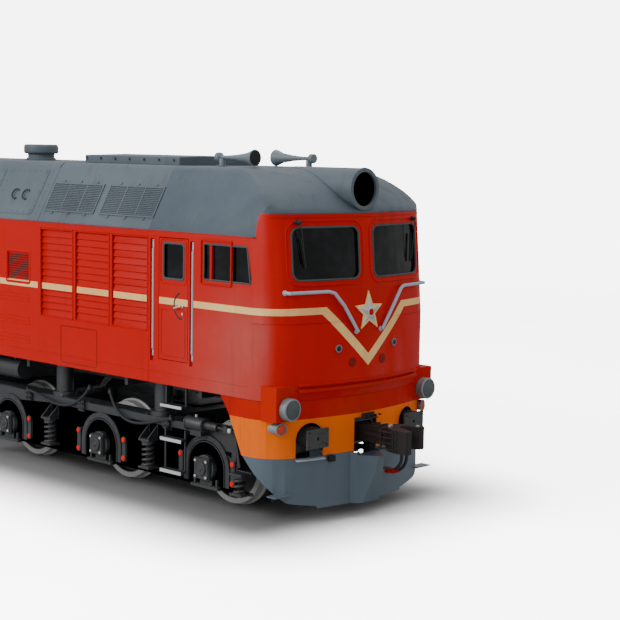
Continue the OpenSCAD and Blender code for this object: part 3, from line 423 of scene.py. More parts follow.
def gridFaces(rows, columns, wrap=True):
    # quads between neighbouring rows and columns of a grid of points
    across = columns if wrap else columns - 1
    row, column = np.meshgrid(np.arange(rows - 1), np.arange(across), indexing="ij")
    after = (column + 1) % columns
    quads = np.stack([row * columns + column, row * columns + after, (row + 1) * columns + after,
        (row + 1) * columns + column], -1)
    return quads.reshape(-1, 4).tolist()


def ringProfile(radius, sides, high=None):
    angle = np.arange(sides) * 2 * np.pi / sides
    return np.stack([radius * np.cos(angle), (high or radius) * np.sin(angle)], -1)


ahead, outside, overhead = (1, 0, 0), (0, -1, 0), (0, 0, 1)


def strip(left, low, right, high):
    # rectangle profile to be swept
    return np.array([[left, low], [right, low], [right, high], [left, high]])


def onWall(loop, out):
    # (along, height) pairs stood upright at that Y
    return np.insert(loop, 1, out, axis=1)


def unit(vectors):
    return vectors / np.maximum(np.linalg.norm(vectors, axis=-1, keepdims=True), 1e-12)


def swept(path, profile, up, loop=False):
    # each path point carries the profile: first value across (tangent x up), second along the lifted direction
    path, profile = np.asarray(path, float), np.asarray(profile, float)
    if loop:
        tangent = unit(np.roll(path, -1, 0) - np.roll(path, 1, 0))
    else:
        tangent = unit(np.gradient(path, axis=0))
    side = unit(np.cross(tangent, np.broadcast_to(np.asarray(up, float), path.shape)))
    lift = np.cross(side, tangent)
    points = path[:, None] + profile[None, :, :1] * side[:, None] + profile[None, :, 1:] * lift[:, None]
    count, sides = len(path), len(profile)
    if loop:
        points = np.concatenate([points, points[:1]])
        faces = [[index % (count * sides) for index in face] for face in gridFaces(count + 1, sides)]
        return points[:-1].reshape(-1, 3), faces
    faces = gridFaces(count, sides) + [list(range(sides)), list(range((count - 1) * sides, count * sides))]
    return points.reshape(-1, 3), faces


def blocks(centres, sizes, axes=np.eye(3)):
    # a box at each centre, with its three sizes along the rows of axes
    centres = np.atleast_2d(np.asarray(centres, float))
    sizes = np.broadcast_to(np.asarray(sizes, float), centres.shape)
    signs = np.array([[x, y, z] for x in (-1, 1) for y in (-1, 1) for z in (-1, 1)]) / 2
    points = centres[:, None] + (signs[None] * sizes[:, None]) @ np.asarray(axes, float)
    quads = np.array([[0, 1, 3, 2], [4, 6, 7, 5], [0, 4, 5, 1], [2, 3, 7, 6], [0, 2, 6, 4], [1, 5, 7, 3]])
    faces = (np.arange(len(centres))[:, None, None] * 8 + quads[None]).reshape(-1, 4).tolist()
    return points.reshape(-1, 3), faces


def spun(profile, origin, direction, sides=32):
    # (radius, distance) pairs turned about the line from origin along direction; end rings are capped
    profile, direction = np.asarray(profile, float), unit(np.asarray(direction, float))
    first = unit(np.cross(direction, overhead if abs(direction[2]) < 0.9 else ahead))
    second = np.cross(direction, first)
    angle = np.arange(sides) * 2 * np.pi / sides
    spokes = np.cos(angle)[:, None] * first + np.sin(angle)[:, None] * second
    points = np.asarray(origin, float) + profile[:, None, :1] * spokes[None] + profile[:, None, 1:] * direction
    count = len(profile)
    faces = gridFaces(count, sides) + [list(range(sides)), list(range((count - 1) * sides, count * sides))]
    return points.reshape(-1, 3), faces


def domes(places, direction, radius, rise, sides=8):
    # low rivet heads: three rings and a top, on a closed base
    head = spun([(radius, -0.002), (radius, rise * 0.35), (radius * 0.6, rise * 0.85), (radius * 0.1, rise)],
        (0, 0, 0), direction, sides)
    return moved(head, places)


def slab(outline, origin, across, upward, thick):
    # an outline of (u, v) pairs laid on a plane at origin and given a thickness along across x upward
    outline, across, upward = (np.asarray(value, float) for value in (outline, across, upward))
    out = np.cross(across, upward) * thick
    flat = np.asarray(origin, float) + outline[:, :1] * across + outline[:, 1:] * upward
    count = len(outline)
    points = np.concatenate([flat, flat + out])
    faces = gridFaces(2, count) + [list(range(count)), list(range(count, 2 * count))]
    return points, faces


def roundedLoop(low, high, radius, steps=6):
    # rectangle outline from low to high with corners of that radius
    turn = np.linspace(0, np.pi / 2, steps)
    corners = [(high[0] - radius, high[1] - radius), (low[0] + radius, high[1] - radius),
        (low[0] + radius, low[1] + radius), (high[0] - radius, low[1] + radius)]
    return np.concatenate([np.stack([x + radius * np.cos(turn + place * np.pi / 2),
        y + radius * np.sin(turn + place * np.pi / 2)], -1) for place, (x, y) in enumerate(corners)])


def filled(loop, spacing):
    # the same closed outline with its long sides cut into short steps
    after = np.roll(loop, -1, 0)
    counts = np.maximum(1, np.ceil(np.linalg.norm(after - loop, axis=1) / spacing).astype(int))
    start, end = np.repeat(loop, counts, 0), np.repeat(after, counts, 0)
    step = np.concatenate([np.arange(count) / count for count in counts])[:, None]
    return start + (end - start) * step


# turns and mirrors of the front right quarter: both ends, both sides, all four corners, or as drawn
ends = [np.diag([1, 1, 1]), np.diag([-1, -1, 1])]
sides = [np.diag([1, 1, 1]), np.diag([1, -1, 1])]
corners = [turn @ side for turn in ends for side in sides]
asDrawn = [np.eye(3)]


def newPiece(name, shape, finish, body="locomotive", sharp=32, bevel=0.0, turns=corners):
    # heights come in above the rail; the mesh is in the frame's own height
    points, faces = copied(shape, turns)
    mesh = bpy.data.meshes.new(name)
    mesh.from_pydata((np.asarray(points) + (0, 0, railTop)).tolist(), [], faces)
    tidy = bmesh.new()
    tidy.from_mesh(mesh)
    bmesh.ops.recalc_face_normals(tidy, faces=tidy.faces)
    tidy.to_mesh(mesh)
    tidy.free()
    return dressed(name, mesh, finish, body, sharp, bevel)


def dressed(name, mesh, finish, body, sharp, bevel):
    mesh.materials.clear()
    mesh.materials.append(finishes[finish])
    mesh.shade_smooth()
    mesh.set_sharp_from_angle(angle=math.radians(sharp))
    piece = bpy.data.objects.new(name, mesh)
    bpy.context.scene.collection.objects.link(piece)
    if bevel:
        edge = piece.modifiers.new("edge", "BEVEL")
        edge.width, edge.segments, edge.limit_method, edge.angle_limit = bevel, 2, "ANGLE", math.radians(40)
        edge.use_clamp_overlap, edge.harden_normals = False, True
    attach(piece, body)
    return piece


# bevel width in metres, and the frame nodes that get it
edgeWidths = {
    0.005: "front_cab_shell rear_cab_shell main_frame",
    0.004: "right_side_wall left_side_wall front_apron rear_apron front_plough rear_plough buffer_pads air_reservoirs corner_lamps",
    0.003: "side_louvres door_steps",
    0.006: "front_roof_section middle_roof_section rear_roof_section roof_intake_box headlights",
    0.008: "roof_breather front_coupler rear_coupler",
    0.002: "horns",
    0.015: "fuel_tank",
    0.01: "control_desks",
    0.02: "engine_block",
}
endEdgeWidths = {"right_door": 0.003, "left_door": 0.003, "bogie_frame": 0.005, "axle_boxes": 0.006,
    "brake_gear": 0.003, "traction_motors": 0.01}
softEdges = {node: width for width, names in edgeWidths.items() for node in names.split()}
softEdges.update({f"{end}_{node}": width for end in ("front", "rear") for node, width in endEdgeWidths.items()})


def softened(name, width):
    # a merged copy of a frame node with flat faces joined, edges rounded by a small bevel, and curves shaded
    # smooth
    mesh = nodes[name].data.copy()
    tidy = bmesh.new()
    tidy.from_mesh(mesh)
    bmesh.ops.remove_doubles(tidy, verts=tidy.verts, dist=0.00005)
    bmesh.ops.dissolve_limit(tidy, angle_limit=math.radians(0.4), verts=tidy.verts, edges=tidy.edges)
    tidy.to_mesh(mesh)
    tidy.free()
    sharp = 50 if "cab_shell" in name else 30
    piece = dressed(f"{name}_soft", mesh, nodeFinish[name], body_of(nodes[name])[0], sharp, width)
    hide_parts(name)
    return piece


for name, width in softEdges.items():
    softened(name, width)
print("softened copies:", len(softEdges))

# the right-hand front quarter is worked out at -Y; turns and mirrors carry it to the others
roofAngle = math.radians(61.4)
sideOut, eaveHigh, roofHigh = 1.475, 3.475, 4.280
uphill = np.array([0, math.cos(roofAngle), math.sin(roofAngle)])
offRoof = np.array([0, -math.sin(roofAngle), math.cos(roofAngle)])
onRoof = np.stack([ahead, uphill, offRoof])


def flank(along, climb, lift=0.0):
    # a place on the roof's sloping side: along the body, up the slope from the eave, and off the plate
    along, climb = np.broadcast_arrays(np.asarray(along, float), np.asarray(climb, float))
    start = np.array([0, -sideOut, eaveHigh])
    return start + along[..., None] * ahead + climb[..., None] * uphill + np.asarray(lift)[..., None] * offRoof


noseSkin = {"bow": 4.0, "bowCentre": 3.905, "bend": 0.45, "bendCentre": (7.3038, 1.025), "meet": 1.155,
    "leanFrom": 2.45, "lean": math.tan(math.radians(4.6))}


def noseReach(across, height):
    # X of the nose skin: a wide bow meets a small corner arc on each side, and both lean back above leanFrom
    side, (centre, out) = np.abs(across), noseSkin["bendCentre"]
    bow = noseSkin["bowCentre"] + np.sqrt(np.maximum(noseSkin["bow"] ** 2 - side ** 2, 0))
    bend = centre + np.sqrt(np.maximum(noseSkin["bend"] ** 2 - (side - out) ** 2, 0))
    back = np.maximum(np.asarray(height) - noseSkin["leanFrom"], 0) * noseSkin["lean"]
    return np.where(side < noseSkin["meet"], bow, bend) - back


def onNose(across, height, lift=0.0):
    across, height = np.broadcast_arrays(np.asarray(across, float), np.asarray(height, float))
    return np.stack([noseReach(across, height) + lift, across, height], -1)


grille = {"runs": ((3.155, 3.498, 3.876, 4.215), (4.358, 4.715, 5.078, 5.440)), "foot": 0.168, "head": 0.594,
    "frame": 0.022, "proud": 0.014, "pitch": 0.026, "wire": 0.009}


def roofGrilles(v):
    frames, meshes, backs = [], [], []
    middle, tall = (v["foot"] + v["head"]) / 2, v["head"] - v["foot"]
    for run in v["runs"]:
        centre, wide = (run[0] + run[-1]) / 2, run[-1] - run[0]
        backs.append(blocks(flank(centre, middle, 0.003), (wide, tall, 0.004), onRoof))
        rails = flank(centre, np.array([v["foot"], v["head"]]), v["proud"] / 2)
        frames.append(blocks(rails, (wide + v["frame"], v["frame"], v["proud"]), onRoof))
        posts = flank(np.array(run), middle, v["proud"] / 2)
        frames.append(blocks(posts, (v["frame"] * 0.8, tall, v["proud"]), onRoof))
        tabs = flank(np.repeat([(a + b) / 2 for a, b in zip(run, run[1:])], 2),
            np.tile([v["foot"] - 0.03, v["head"] + 0.03], 3), 0.006)
        frames.append(blocks(tabs, (0.045, 0.03, 0.012), onRoof))
        bars = np.arange(run[0] + v["pitch"], run[-1], v["pitch"])
        meshes.append(blocks(flank(bars, middle, 0.007), (v["wire"], tall, 0.004), onRoof))
        lines = np.arange(v["foot"] + v["pitch"], v["head"], v["pitch"])
        meshes.append(blocks(flank(centre, lines, 0.010), (wide, v["wire"], 0.004), onRoof))
    newPiece("grille_frames", frames, "roof", bevel=0.002)
    newPiece("grille_mesh", meshes, "roof")
    newPiece("grille_backs", backs, "grilleShade")


hatch = {"inset": 0.035, "left": 1.95, "right": 2.89, "foot": 0.09, "head": 0.80, "proud": 0.006,
    "rivet": 0.011, "gap": 0.155, "handles": (2.359, 2.603), "handleHigh": 0.385}


def roofHatches(v):
    plates, heads, grips = [], [], []
    for step in (0.0, -1.02):
        left, right = v["left"] + step, v["right"] + step
        outline = roundedLoop((left, v["foot"]), (right, v["head"]), 0.05)
        plates.append(slab(outline, flank(0, 0), ahead, uphill, v["proud"]))
        inside = [(left + v["inset"], v["foot"] + v["inset"]), (right - v["inset"], v["head"] - v["inset"])]
        edge = filled(roundedLoop(*inside, 0.03, 2), v["gap"])
        heads.append(domes(flank(edge[:, 0], edge[:, 1], v["proud"]), offRoof, v["rivet"], 0.008))
        for place in v["handles"]:
            turn = np.linspace(0.3, 1.7, 11) * np.pi
            rise = flank(place + step + 0.055 * np.cos(turn), v["handleHigh"] + 0.075 * np.sin(turn),
                v["proud"] + 0.004 + 0.028 * np.sin((turn / np.pi - 0.3) / 1.4 * np.pi))
            grips.append(swept(rise, ringProfile(0.012, 8), offRoof))
    newPiece("roof_hatches", plates, "roof", bevel=0.002)
    newPiece("hatch_rivets", heads, "roof")
    newPiece("hatch_handles", grips, "grilleShade")


strap = {"places": (3.065, -3.065), "wide": 0.05, "proud": 0.005, "rivetGap": 0.11}


def roofStraps(v):
    # a flat strap over each roof joint, carried along the roof's own section
    rise = (roofHigh - eaveHigh) / math.sin(roofAngle)
    climb = np.linspace(0.0, rise - 0.09, 9)
    side = flank(0, climb)[:, 1:]
    knee = np.array([[-1.075, 4.222], [-1.04, 4.257], [-1.0, 4.273], [-0.95, roofHigh]])
    half = np.concatenate([side, knee])
    section = np.concatenate([half, np.stack([np.linspace(-0.8, 0.8, 7), np.full(7, roofHigh)], -1),
        half[::-1] * (-1, 1)])
    shapes, heads = [], []
    flat = strip(-v["wide"] / 2, -0.004, v["wide"] / 2, v["proud"])
    for place in v["places"]:
        path = np.insert(section, 0, place, axis=1)
        shapes.append(swept(path, flat[:, ::-1], ahead))
        for offset in (-0.085, 0.085):
            along = np.arange(0.12, rise - 0.1, v["rivetGap"])
            heads.append(copied(domes(flank(place + offset, along), offRoof, 0.010, 0.007), sides))
    newPiece("roof_straps", shapes, "roof", bevel=0.0015, turns=asDrawn)
    newPiece("strap_rivets", heads, "roof", turns=asDrawn)


box = {"holes": (3.211, 3.520, 3.832, 4.139, 4.444, 4.750, 5.050), "side": 0.705, "high": 4.345,
    "radius": 0.022}


def roofBoxHoles(v):
    # a dark disc in each drain hole of the roof box, painted shade of the open hole, with a thin rim
    rims = [spun([(v["radius"] + 0.008, -0.004), (v["radius"] + 0.008, 0.003), (v["radius"], 0.004),
        (v["radius"] * 0.9, -0.003)], (x, -v["side"], v["high"]), outside, 14) for x in v["holes"]]
    holeShades = [spun([(v["radius"] * 0.92, -0.004), (v["radius"] * 0.9, 0.0025), (0.002, 0.0025)],
        (x, -v["side"], v["high"]), outside, 14) for x in v["holes"]]
    newPiece("roof_box_rims", rims, "roof", turns=sides)
    newPiece("roof_box_holes", holeShades, "shade", turns=sides)


trim = {"eave": 0.008, "sillHigh": 1.68, "sill": 0.006, "cabJoint": 5.45, "jointHigh": (1.54, 1.80)}


def bodyBeads(v):
    # long half-round beads: the eave, the sill rib, the upright cab joints, and two ridges round the nose
    beads = []
    eave = np.array([[reach, -sideOut, eaveHigh] for reach in (-7.36, 0, 7.36)])
    beads.append(copied(swept(eave, ringProfile(v["eave"], 8), overhead), sides))
    sill = eave * (1, 1, 0) + (0, 0, v["sillHigh"])
    beads.append(copied(swept(sill * (0.99, 1, 1), ringProfile(v["sill"], 8), overhead), sides))
    joint = np.array([[v["cabJoint"], -sideOut, height] for height in v["jointHigh"]])
    beads.append(copied(swept(joint, ringProfile(0.005, 6), ahead), corners))
    turn = np.linspace(-1, 1, 61)
    across = 1.415 * np.sin(turn * np.pi / 2)
    for height, radius in ((3.715, 0.006), (3.765, 0.007)):
        inset = np.interp(height, (3.475, 3.74), (0.0, 0.066))
        path = onNose(across * (1 - inset / 1.415 * 0.8), height, -0.001)
        beads.append(copied(swept(path, ringProfile(radius, 6), overhead), ends))
    newPiece("body_beads", beads, "body", turns=asDrawn)


screen = {"inner": 0.120, "outer": 1.150, "low": 2.950, "high": 3.605, "corner": 0.110}


def windscreenTrim(v):
    # sealing strips inside the openings and a raised bead round each one
    low, high = (v["inner"], v["low"]), (v["outer"], v["high"])
    seals, beads = [], []
    seal = filled(roundedLoop((low[0] + 0.011, low[1] + 0.011), (high[0] - 0.011, high[1] - 0.011),
        v["corner"] - 0.01), 0.08)
    seals.append(swept(onNose(-seal[:, 0], seal[:, 1], -0.004), ringProfile(0.013, 8, 0.012), (1, 0, 0.08),
        True))
    bead = filled(roundedLoop((low[0] - 0.055, low[1] - 0.05), (high[0] + 0.06, high[1] + 0.065),
        v["corner"] + 0.05), 0.08)
    beads.append(swept(onNose(-bead[:, 0], bead[:, 1], -0.003), ringProfile(0.014, 8, 0.012), (1, 0, 0.08),
        True))
    newPiece("windscreen_seals", seals, "seal")
    newPiece("windscreen_beads", beads, "redPlain")


wiper = {"pivot": (-1.055, 3.655), "tip": (-0.985, 3.16)}


def wipers(v):
    pivot, tip = np.array(v["pivot"]), np.array(v["tip"])
    line = pivot + (tip - pivot) * np.linspace(0, 1, 7)[:, None]
    arm = swept(onNose(line[:, 0], line[:, 1], np.array([0.05, 0.055, 0.05, 0.042, 0.034, 0.027, 0.02])),
        ringProfile(0.008, 6, 0.005), ahead)
    blade = tip + (pivot - tip) * np.linspace(-0.1, 0.62, 6)[:, None] + (0.012, 0)
    rubber = swept(onNose(blade[:, 0], blade[:, 1], -0.004), ringProfile(0.006, 6, 0.016), ahead)
    x, y, z = onNose(pivot[0], pivot[1])
    boss = spun([(0.03, -0.01), (0.03, 0.03), (0.02, 0.06), (0.004, 0.065)], (x, y, z), (1, 0, 0.08), 14)
    motor = swept(onNose(np.array([-1.055, -1.12]), np.array([3.655, 3.655]), 0.02), ringProfile(0.014, 8),
        overhead)
    newPiece("wiper_arms", [arm, boss, motor], "shade")
    newPiece("wiper_blades", rubber, "rubber")


sideWindow = {"outline": ((6.478, 2.905), (7.320, 2.905), (7.257, 3.360), (6.478, 3.360)), "post": 6.615,
    "mullion": 6.977, "wall": -1.475}


def sideWindowTrim(v):
    centre = np.mean(v["outline"], 0)
    loop = filled(np.array(v["outline"]), 0.09)
    inner = centre + (loop - centre) * (0.975, 0.955)
    path = onWall(inner, v["wall"] + 0.004)
    newPiece("side_window_seals", swept(path, ringProfile(0.012, 8, 0.011), outside, True), "seal")
    box = filled(roundedLoop((6.445, 2.862), (6.985, 3.400), 0.012, 3), 0.12)
    rim = onWall(box, v["wall"] - 0.004)
    frame = swept(rim, strip(-0.012, -0.012, 0.012, 0.012), outside, True)
    post = blocks((v["post"], v["wall"] + 0.012, 3.1325), (0.042, 0.03, 0.455))
    newPiece("side_window_frames", [frame, post], "redPlain", bevel=0.003)
    mullion = blocks((v["mullion"], v["wall"] + 0.010, 3.1325), (0.020, 0.026, 0.455))
    newPiece("side_window_mullions", mullion, "silver", bevel=0.002)


door = {"left": 5.726, "right": 6.132, "low": 2.865, "high": 3.333, "wall": -1.475, "handle": (6.100, 2.549)}


def doorTrim(v):
    # a seal and bead round the window, a pressed lower panel, and the handle with its dark arc, painted shade
    # of the groove beside the handle
    seal = filled(roundedLoop((v["left"] + 0.010, v["low"] + 0.010), (v["right"] - 0.010, v["high"] - 0.010),
        0.05), 0.1)
    sealShape = swept(onWall(seal, v["wall"] + 0.003), ringProfile(0.016, 8, 0.012), outside, True)
    bead = filled(roundedLoop((5.688, 2.815), (6.166, 3.372), 0.05), 0.1)
    panel = filled(roundedLoop((5.700, 1.90), (6.150, 2.49), 0.035), 0.1)
    beads = joined([swept(onWall(line, v["wall"]), ringProfile(0.007, 6), outside, True)
        for line in (bead, panel)])
    x, z = v["handle"]
    turn = np.linspace(0.6 * np.pi, 1.5 * np.pi, 22)
    arc = np.stack([x - 0.01 + 0.145 * np.cos(turn), np.full(22, v["wall"] - 0.001), z + 0.165 * np.sin(turn)],
        -1)
    # a thin black strip along the arc: painted shade of the groove
    groove = swept(arc, ringProfile(0.011, 6, 0.003), outside)
    grip = swept(np.array([[x, v["wall"] - 0.035, z], [x - 0.05, v["wall"] - 0.04, z - 0.012],
        [x - 0.115, v["wall"] - 0.036, z - 0.03]]), ringProfile(0.012, 10), outside)
    boss = spun([(0.026, -0.002), (0.026, 0.012), (0.016, 0.018), (0.013, 0.05), (0.003, 0.052)],
        (x, v["wall"], z), outside, 16)
    lock = spun([(0.016, -0.002), (0.016, 0.006), (0.006, 0.008), (0.002, 0.004)], (x, v["wall"], z - 0.10),
        outside, 14)
    quarters = {"front_right": corners[0], "front_left": corners[1], "rear_left": corners[2],
        "rear_right": corners[3]}
    for place, turnBy in quarters.items():
        body = f"{place}_cab_door"
        newPiece(f"{place}_door_seal", sealShape, "seal", body, turns=[turnBy])
        newPiece(f"{place}_door_beads", beads, "body", body, turns=[turnBy])
        newPiece(f"{place}_door_groove", groove, "shade", body, turns=[turnBy])
        newPiece(f"{place}_door_handle", [grip, boss, lock], "silver", body, turns=[turnBy])


railing = {"places": (5.517, 6.267), "low": 1.967, "high": 3.232}


def railFeet(v):
    # a flat pad and two bolts at the head and foot of each long handrail
    pads, bolts = [], []
    for x in v["places"]:
        for height, tall in ((v["high"] + 0.06, 0.13), (v["low"] - 0.05, 0.10)):
            pads.append(blocks((x, -1.446, height), (0.036, 0.014, tall)))
            bolts.append(domes([(x, -1.453, height - tall * 0.3), (x, -1.453, height + tall * 0.3)], outside,
                0.009, 0.008))
    newPiece("handrail_pads", pads, "rail", bevel=0.003)
    newPiece("handrail_bolts", bolts, "rail")
    feet = []
    for y, z in ((-1.245, 2.822), (-0.225, 2.311)):
        x = float(noseReach(y, z))
        feet.append(spun([(0.032, -0.006), (0.032, 0.006), (0.024, 0.010), (0.020, 0.016)], (x, y, z),
            (1, 0.25 * y, 0.0), 18))
    newPiece("nose_rail_feet", feet, "rail")


nose = {"sockets": (0.514, 2.118, 0.048), "discs": (0.279, 1.934, 0.060), "star": 2.543, "point": 0.258}


def noseFittings(v):
    across, height, radius = v["sockets"]
    x = float(noseReach(across, height))
    socket = spun([(radius, -0.01), (radius, 0.012), (radius * 0.72, 0.016), (radius * 0.66, 0.0),
        (0.004, 0.0)], (x, -across, height), (1, -0.13, 0), 22)
    cap = spun([(radius * 0.6, -0.002), (radius * 0.5, 0.012), (radius * 0.2, 0.02), (0.003, 0.022)],
        (x, -across, height), (1, -0.13, 0), 16)
    newPiece("nose_sockets", socket, "fitting")
    newPiece("nose_socket_caps", cap, "rubber")
    across, height, radius = v["discs"]
    x = float(noseReach(across, height))
    disc = spun([(radius, -0.01), (radius, 0.002), (radius * 0.93, 0.005), (0.004, 0.005)],
        (x, -across, height), (1, -0.07, 0), 26)
    newPiece("nose_discs", disc, "fadedRed")


def starOutline(point, notch):
    turn = np.pi / 2 + np.arange(10) * np.pi / 5
    reach = np.where(np.arange(10) % 2 == 0, point, notch)
    return np.stack([reach * np.cos(turn), reach * np.sin(turn)], -1)


def noseStar(v):
    # a flat star plate, a smaller faceted star that rises to its middle, and a plain round boss
    height = v["star"]
    x = float(noseReach(0.25, height)) - 0.004
    lean = np.array([-math.sin(math.radians(3.2)), 0, math.cos(math.radians(3.2))])
    ratio = 0.44
    plate = slab(starOutline(v["point"], v["point"] * ratio), (x, 0, height), (0, 1, 0), lean, 0.022)
    small = starOutline(v["point"] * 0.78, v["point"] * 0.78 * ratio)
    rim = np.array([x + 0.020, 0, height]) + small[:, :1] * np.array([0, 1, 0]) + small[:, 1:] * lean
    top = np.array([[x + 0.058, 0, height]])
    fan = [[index, (index + 1) % 10, 10] for index in range(10)]
    facets = (np.concatenate([rim, top]), fan + [list(range(10))])
    boss = spun([(0.044, 0.0), (0.044, 0.054), (0.040, 0.060), (0.003, 0.064)], (x, 0, height - 0.004), ahead,
        28)
    ring = spun([(0.060, 0.0), (0.060, 0.050), (0.052, 0.056)], (x, 0, height - 0.004), ahead, 28)
    newPiece("star_plates", plate, "cream", bevel=0.002, turns=ends)
    newPiece("star_facets", facets, "silver", sharp=5, turns=ends)
    newPiece("star_rings", ring, "silver", turns=ends)
    newPiece("star_bosses", boss, "redPlain", turns=ends)


panel = {"bays": 3.150, "wide": 0.731, "gap": 0.0435, "low": 2.170, "high": 3.386, "wall": -1.475}


def louvreTrim(v):
    # flat plates that carry the cream band over the slats, and a lip round each bay
    plates, lips = [], []
    for index in range(3):
        left = v["bays"] + index * (v["wide"] + v["gap"])
        plates.append(blocks((left + v["wide"] / 2, v["wall"] + 0.020, 2.591),
            (v["wide"] - 0.05, 0.014, 0.104)))
        loop = filled(roundedLoop((left + 0.008, v["low"] + 0.008), (left + v["wide"] - 0.008,
            v["high"] - 0.008), 0.008, 2), 0.3)
        lips.append(swept(onWall(loop, v["wall"] + 0.008), strip(-0.007, -0.012, 0.007, 0.010), outside, True))
    newPiece("louvre_bands", plates, "body", bevel=0.002)
    newPiece("louvre_lips", lips, "body", bevel=0.002)


pressing = {"left": 2.17, "right": 2.90, "groups": (2.44, 2.12, 1.86), "lines": 3, "pitch": 0.048,
    "wall": -1.475}


def sidePressings(v):
    # groups of shallow horizontal ribs below the band, and the frame of the small vent with dark strips in its
    # slots as painted shade
    heights = np.concatenate([top - np.arange(v["lines"]) * v["pitch"] for top in v["groups"]])
    ribs = [swept(np.array([[v["left"], v["wall"], z], [v["right"], v["wall"], z]]),
        ringProfile(0.010, 8, 0.006), outside) for z in heights]
    ribs += [swept(np.array([[0.35, v["wall"], z], [1.55, v["wall"], z]]), ringProfile(0.010, 8, 0.006),
        outside) for z in heights]
    loop = filled(roundedLoop((2.360, 2.600), (2.913, 3.040), 0.03, 4), 0.2)
    ribs.append(swept(onWall(loop, v["wall"]), ringProfile(0.018, 8, 0.007), outside, True))
    newPiece("side_ribs", ribs, "redPlain")
    # black strips in the vent's gaps: painted shade behind the slats
    slots = blocks([(2.6365, v["wall"] + 0.022, 2.662 + 0.032 * index) for index in range(11)],
        (0.455, 0.012, 0.014))
    newPiece("vent_slots", slots, "shade")
    seams = []
    for left, right, low, high in ((3.62, 4.40, 1.58, 2.08), (0.30, 1.60, 2.72, 3.30), (-0.3, 0.3, 1.75, 3.38)):
        loop = filled(roundedLoop((left, low), (right, high), 0.03, 4), 0.25)
        seams.append(swept(onWall(loop, v["wall"]), ringProfile(0.006, 6, 0.004), outside, True))
    newPiece("side_hatch_seams", seams, "fadedRed")


roofGrilles(grille)
roofHatches(hatch)
roofStraps(strap)
roofBoxHoles(box)
bodyBeads(trim)
windscreenTrim(screen)
wipers(wiper)
sideWindowTrim(sideWindow)
doorTrim(door)
railFeet(railing)
noseFittings(nose)
noseStar(nose)
louvreTrim(panel)
sidePressings(pressing)
print("body fittings made")

bogie = {"pivot": 4.3, "axles": (-2.1, 0.0, 2.1), "axleHigh": 0.525, "plate": -1.300, "cover": -1.400}


def bogiePiece(name, shape, finish, bevel=0.0, stands=None):
    # a quarter drawn about the front pivot at -Y, mirrored to +Y, then turned half round for the rear bogie
    pair = copied(shape, sides)
    for end, turn in zip(("front", "rear"), ends):
        piece = newPiece(f"{end}_{name}", (pair[0] + (bogie["pivot"], 0, 0), pair[1]), finish, f"{end}_bogie",
            bevel=bevel, turns=[turn])
        if stands:
            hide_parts(f"{end}_{stands}")


spring = {"across": -1.375, "middle": (1.05, 0.395, 0.728, 0.091), "end": (2.763, 0.320, 0.541, 0.080),
    "wire": 0.019, "pitch": 0.064}


def coil(place, low, high, radius, wire, turns):
    # a helix of round wire whose first and last part-turns lie flat on the seats
    count = int(turns * 26)
    step = np.linspace(0, 1, count)
    angle = 2 * np.pi * turns * step
    rise = np.clip((step * turns - 0.7) / (turns - 1.4), 0, 1)
    path = np.stack([place[0] + (radius - wire) * np.cos(angle), place[1] + (radius - wire) * np.sin(angle),
        low + wire + (high - low - 2 * wire) * rise], -1)
    return swept(path, ringProfile(wire, 10), overhead)


def bogieSprings(v):
    coils, cores = [], []
    for place, low, high, radius in (v["middle"], v["end"]):
        turns = (high - low) / v["pitch"] + 0.6
        for side in (-1, 1):
            coils.append(coil((side * place, v["across"]), low, high, radius, v["wire"], turns))
            cores.append(spun([(radius - 0.052, low + 0.002), (radius - 0.052, high - 0.002)],
                (side * place, v["across"], 0), overhead, 20))
            coils.append(spun([(radius + 0.006, low), (radius + 0.006, low + 0.014),
                (radius - 0.03, low + 0.016)], (side * place, v["across"], 0), overhead, 28))
            coils.append(spun([(radius - 0.03, high - 0.016), (radius + 0.006, high - 0.014),
                (radius + 0.006, high)], (side * place, v["across"], 0), overhead, 28))
    bogiePiece("coil_springs", coils, "gear", stands="bogie_springs")
    bogiePiece("spring_cores", cores, "dark")


cover = {"half": (0.098, 0.100), "bolt": 0.020, "rise": 0.018, "pin": (0.48, (0.641, 0.396)),
    "pinRadius": 0.036}


def axleBoxFittings(v):
    # a raised square flange with four bright bolts on each axle-box, and the red pins of the shackles
    flanges, bolts, pins, washers = [], [], [], []
    for axle in bogie["axles"]:
        outline = roundedLoop((axle - 0.125, bogie["axleHigh"] - 0.125),
            (axle + 0.125, bogie["axleHigh"] + 0.125), 0.035)
        flanges.append(slab(outline, (0, bogie["cover"] + 0.001, 0), ahead, overhead, 0.016))
        flanges.append(spun([(0.088, 0.0), (0.088, 0.028), (0.078, 0.036), (0.074, 0.030), (0.03, 0.030),
            (0.026, 0.038), (0.004, 0.040)], (axle, bogie["cover"], bogie["axleHigh"]), outside, 32))
        places = [(axle + x * v["half"][0], bogie["cover"] - 0.014, bogie["axleHigh"] + z * v["half"][1])
            for x in (-1, 1) for z in (-1, 1)]
        washers.append(moved(spun([(0.027, 0.0), (0.027, 0.004), (0.02, 0.005)], (0, 0, 0), outside, 14),
            places))
        bolts.append(moved(spun([(v["bolt"], 0.0), (v["bolt"], v["rise"] * 0.8), (v["bolt"] * 0.8, v["rise"]),
            (0.003, v["rise"])], (0, 0, 0), outside, 6), places))
        for side in (-1, 1):
            for height in v["pin"][1]:
                place = (axle + side * v["pin"][0], -1.322, height)
                pins.append(spun([(v["pinRadius"], 0.0), (v["pinRadius"], 0.012),
                    (v["pinRadius"] * 0.85, 0.019), (0.003, 0.022)], place, outside, 20))
                washers.append(spun([(0.046, -0.004), (0.046, 0.006), (0.038, 0.008)], place, outside, 20))
    bogiePiece("axle_covers", flanges, "gear", bevel=0.003)
    bogiePiece("cover_bolts", bolts, "silver")
    bogiePiece("cover_washers", washers, "gear")
    bogiePiece("shackle_pins", pins, "pinRed")


arch = {"radius": 0.385, "wide": 0.070, "proud": 0.024}


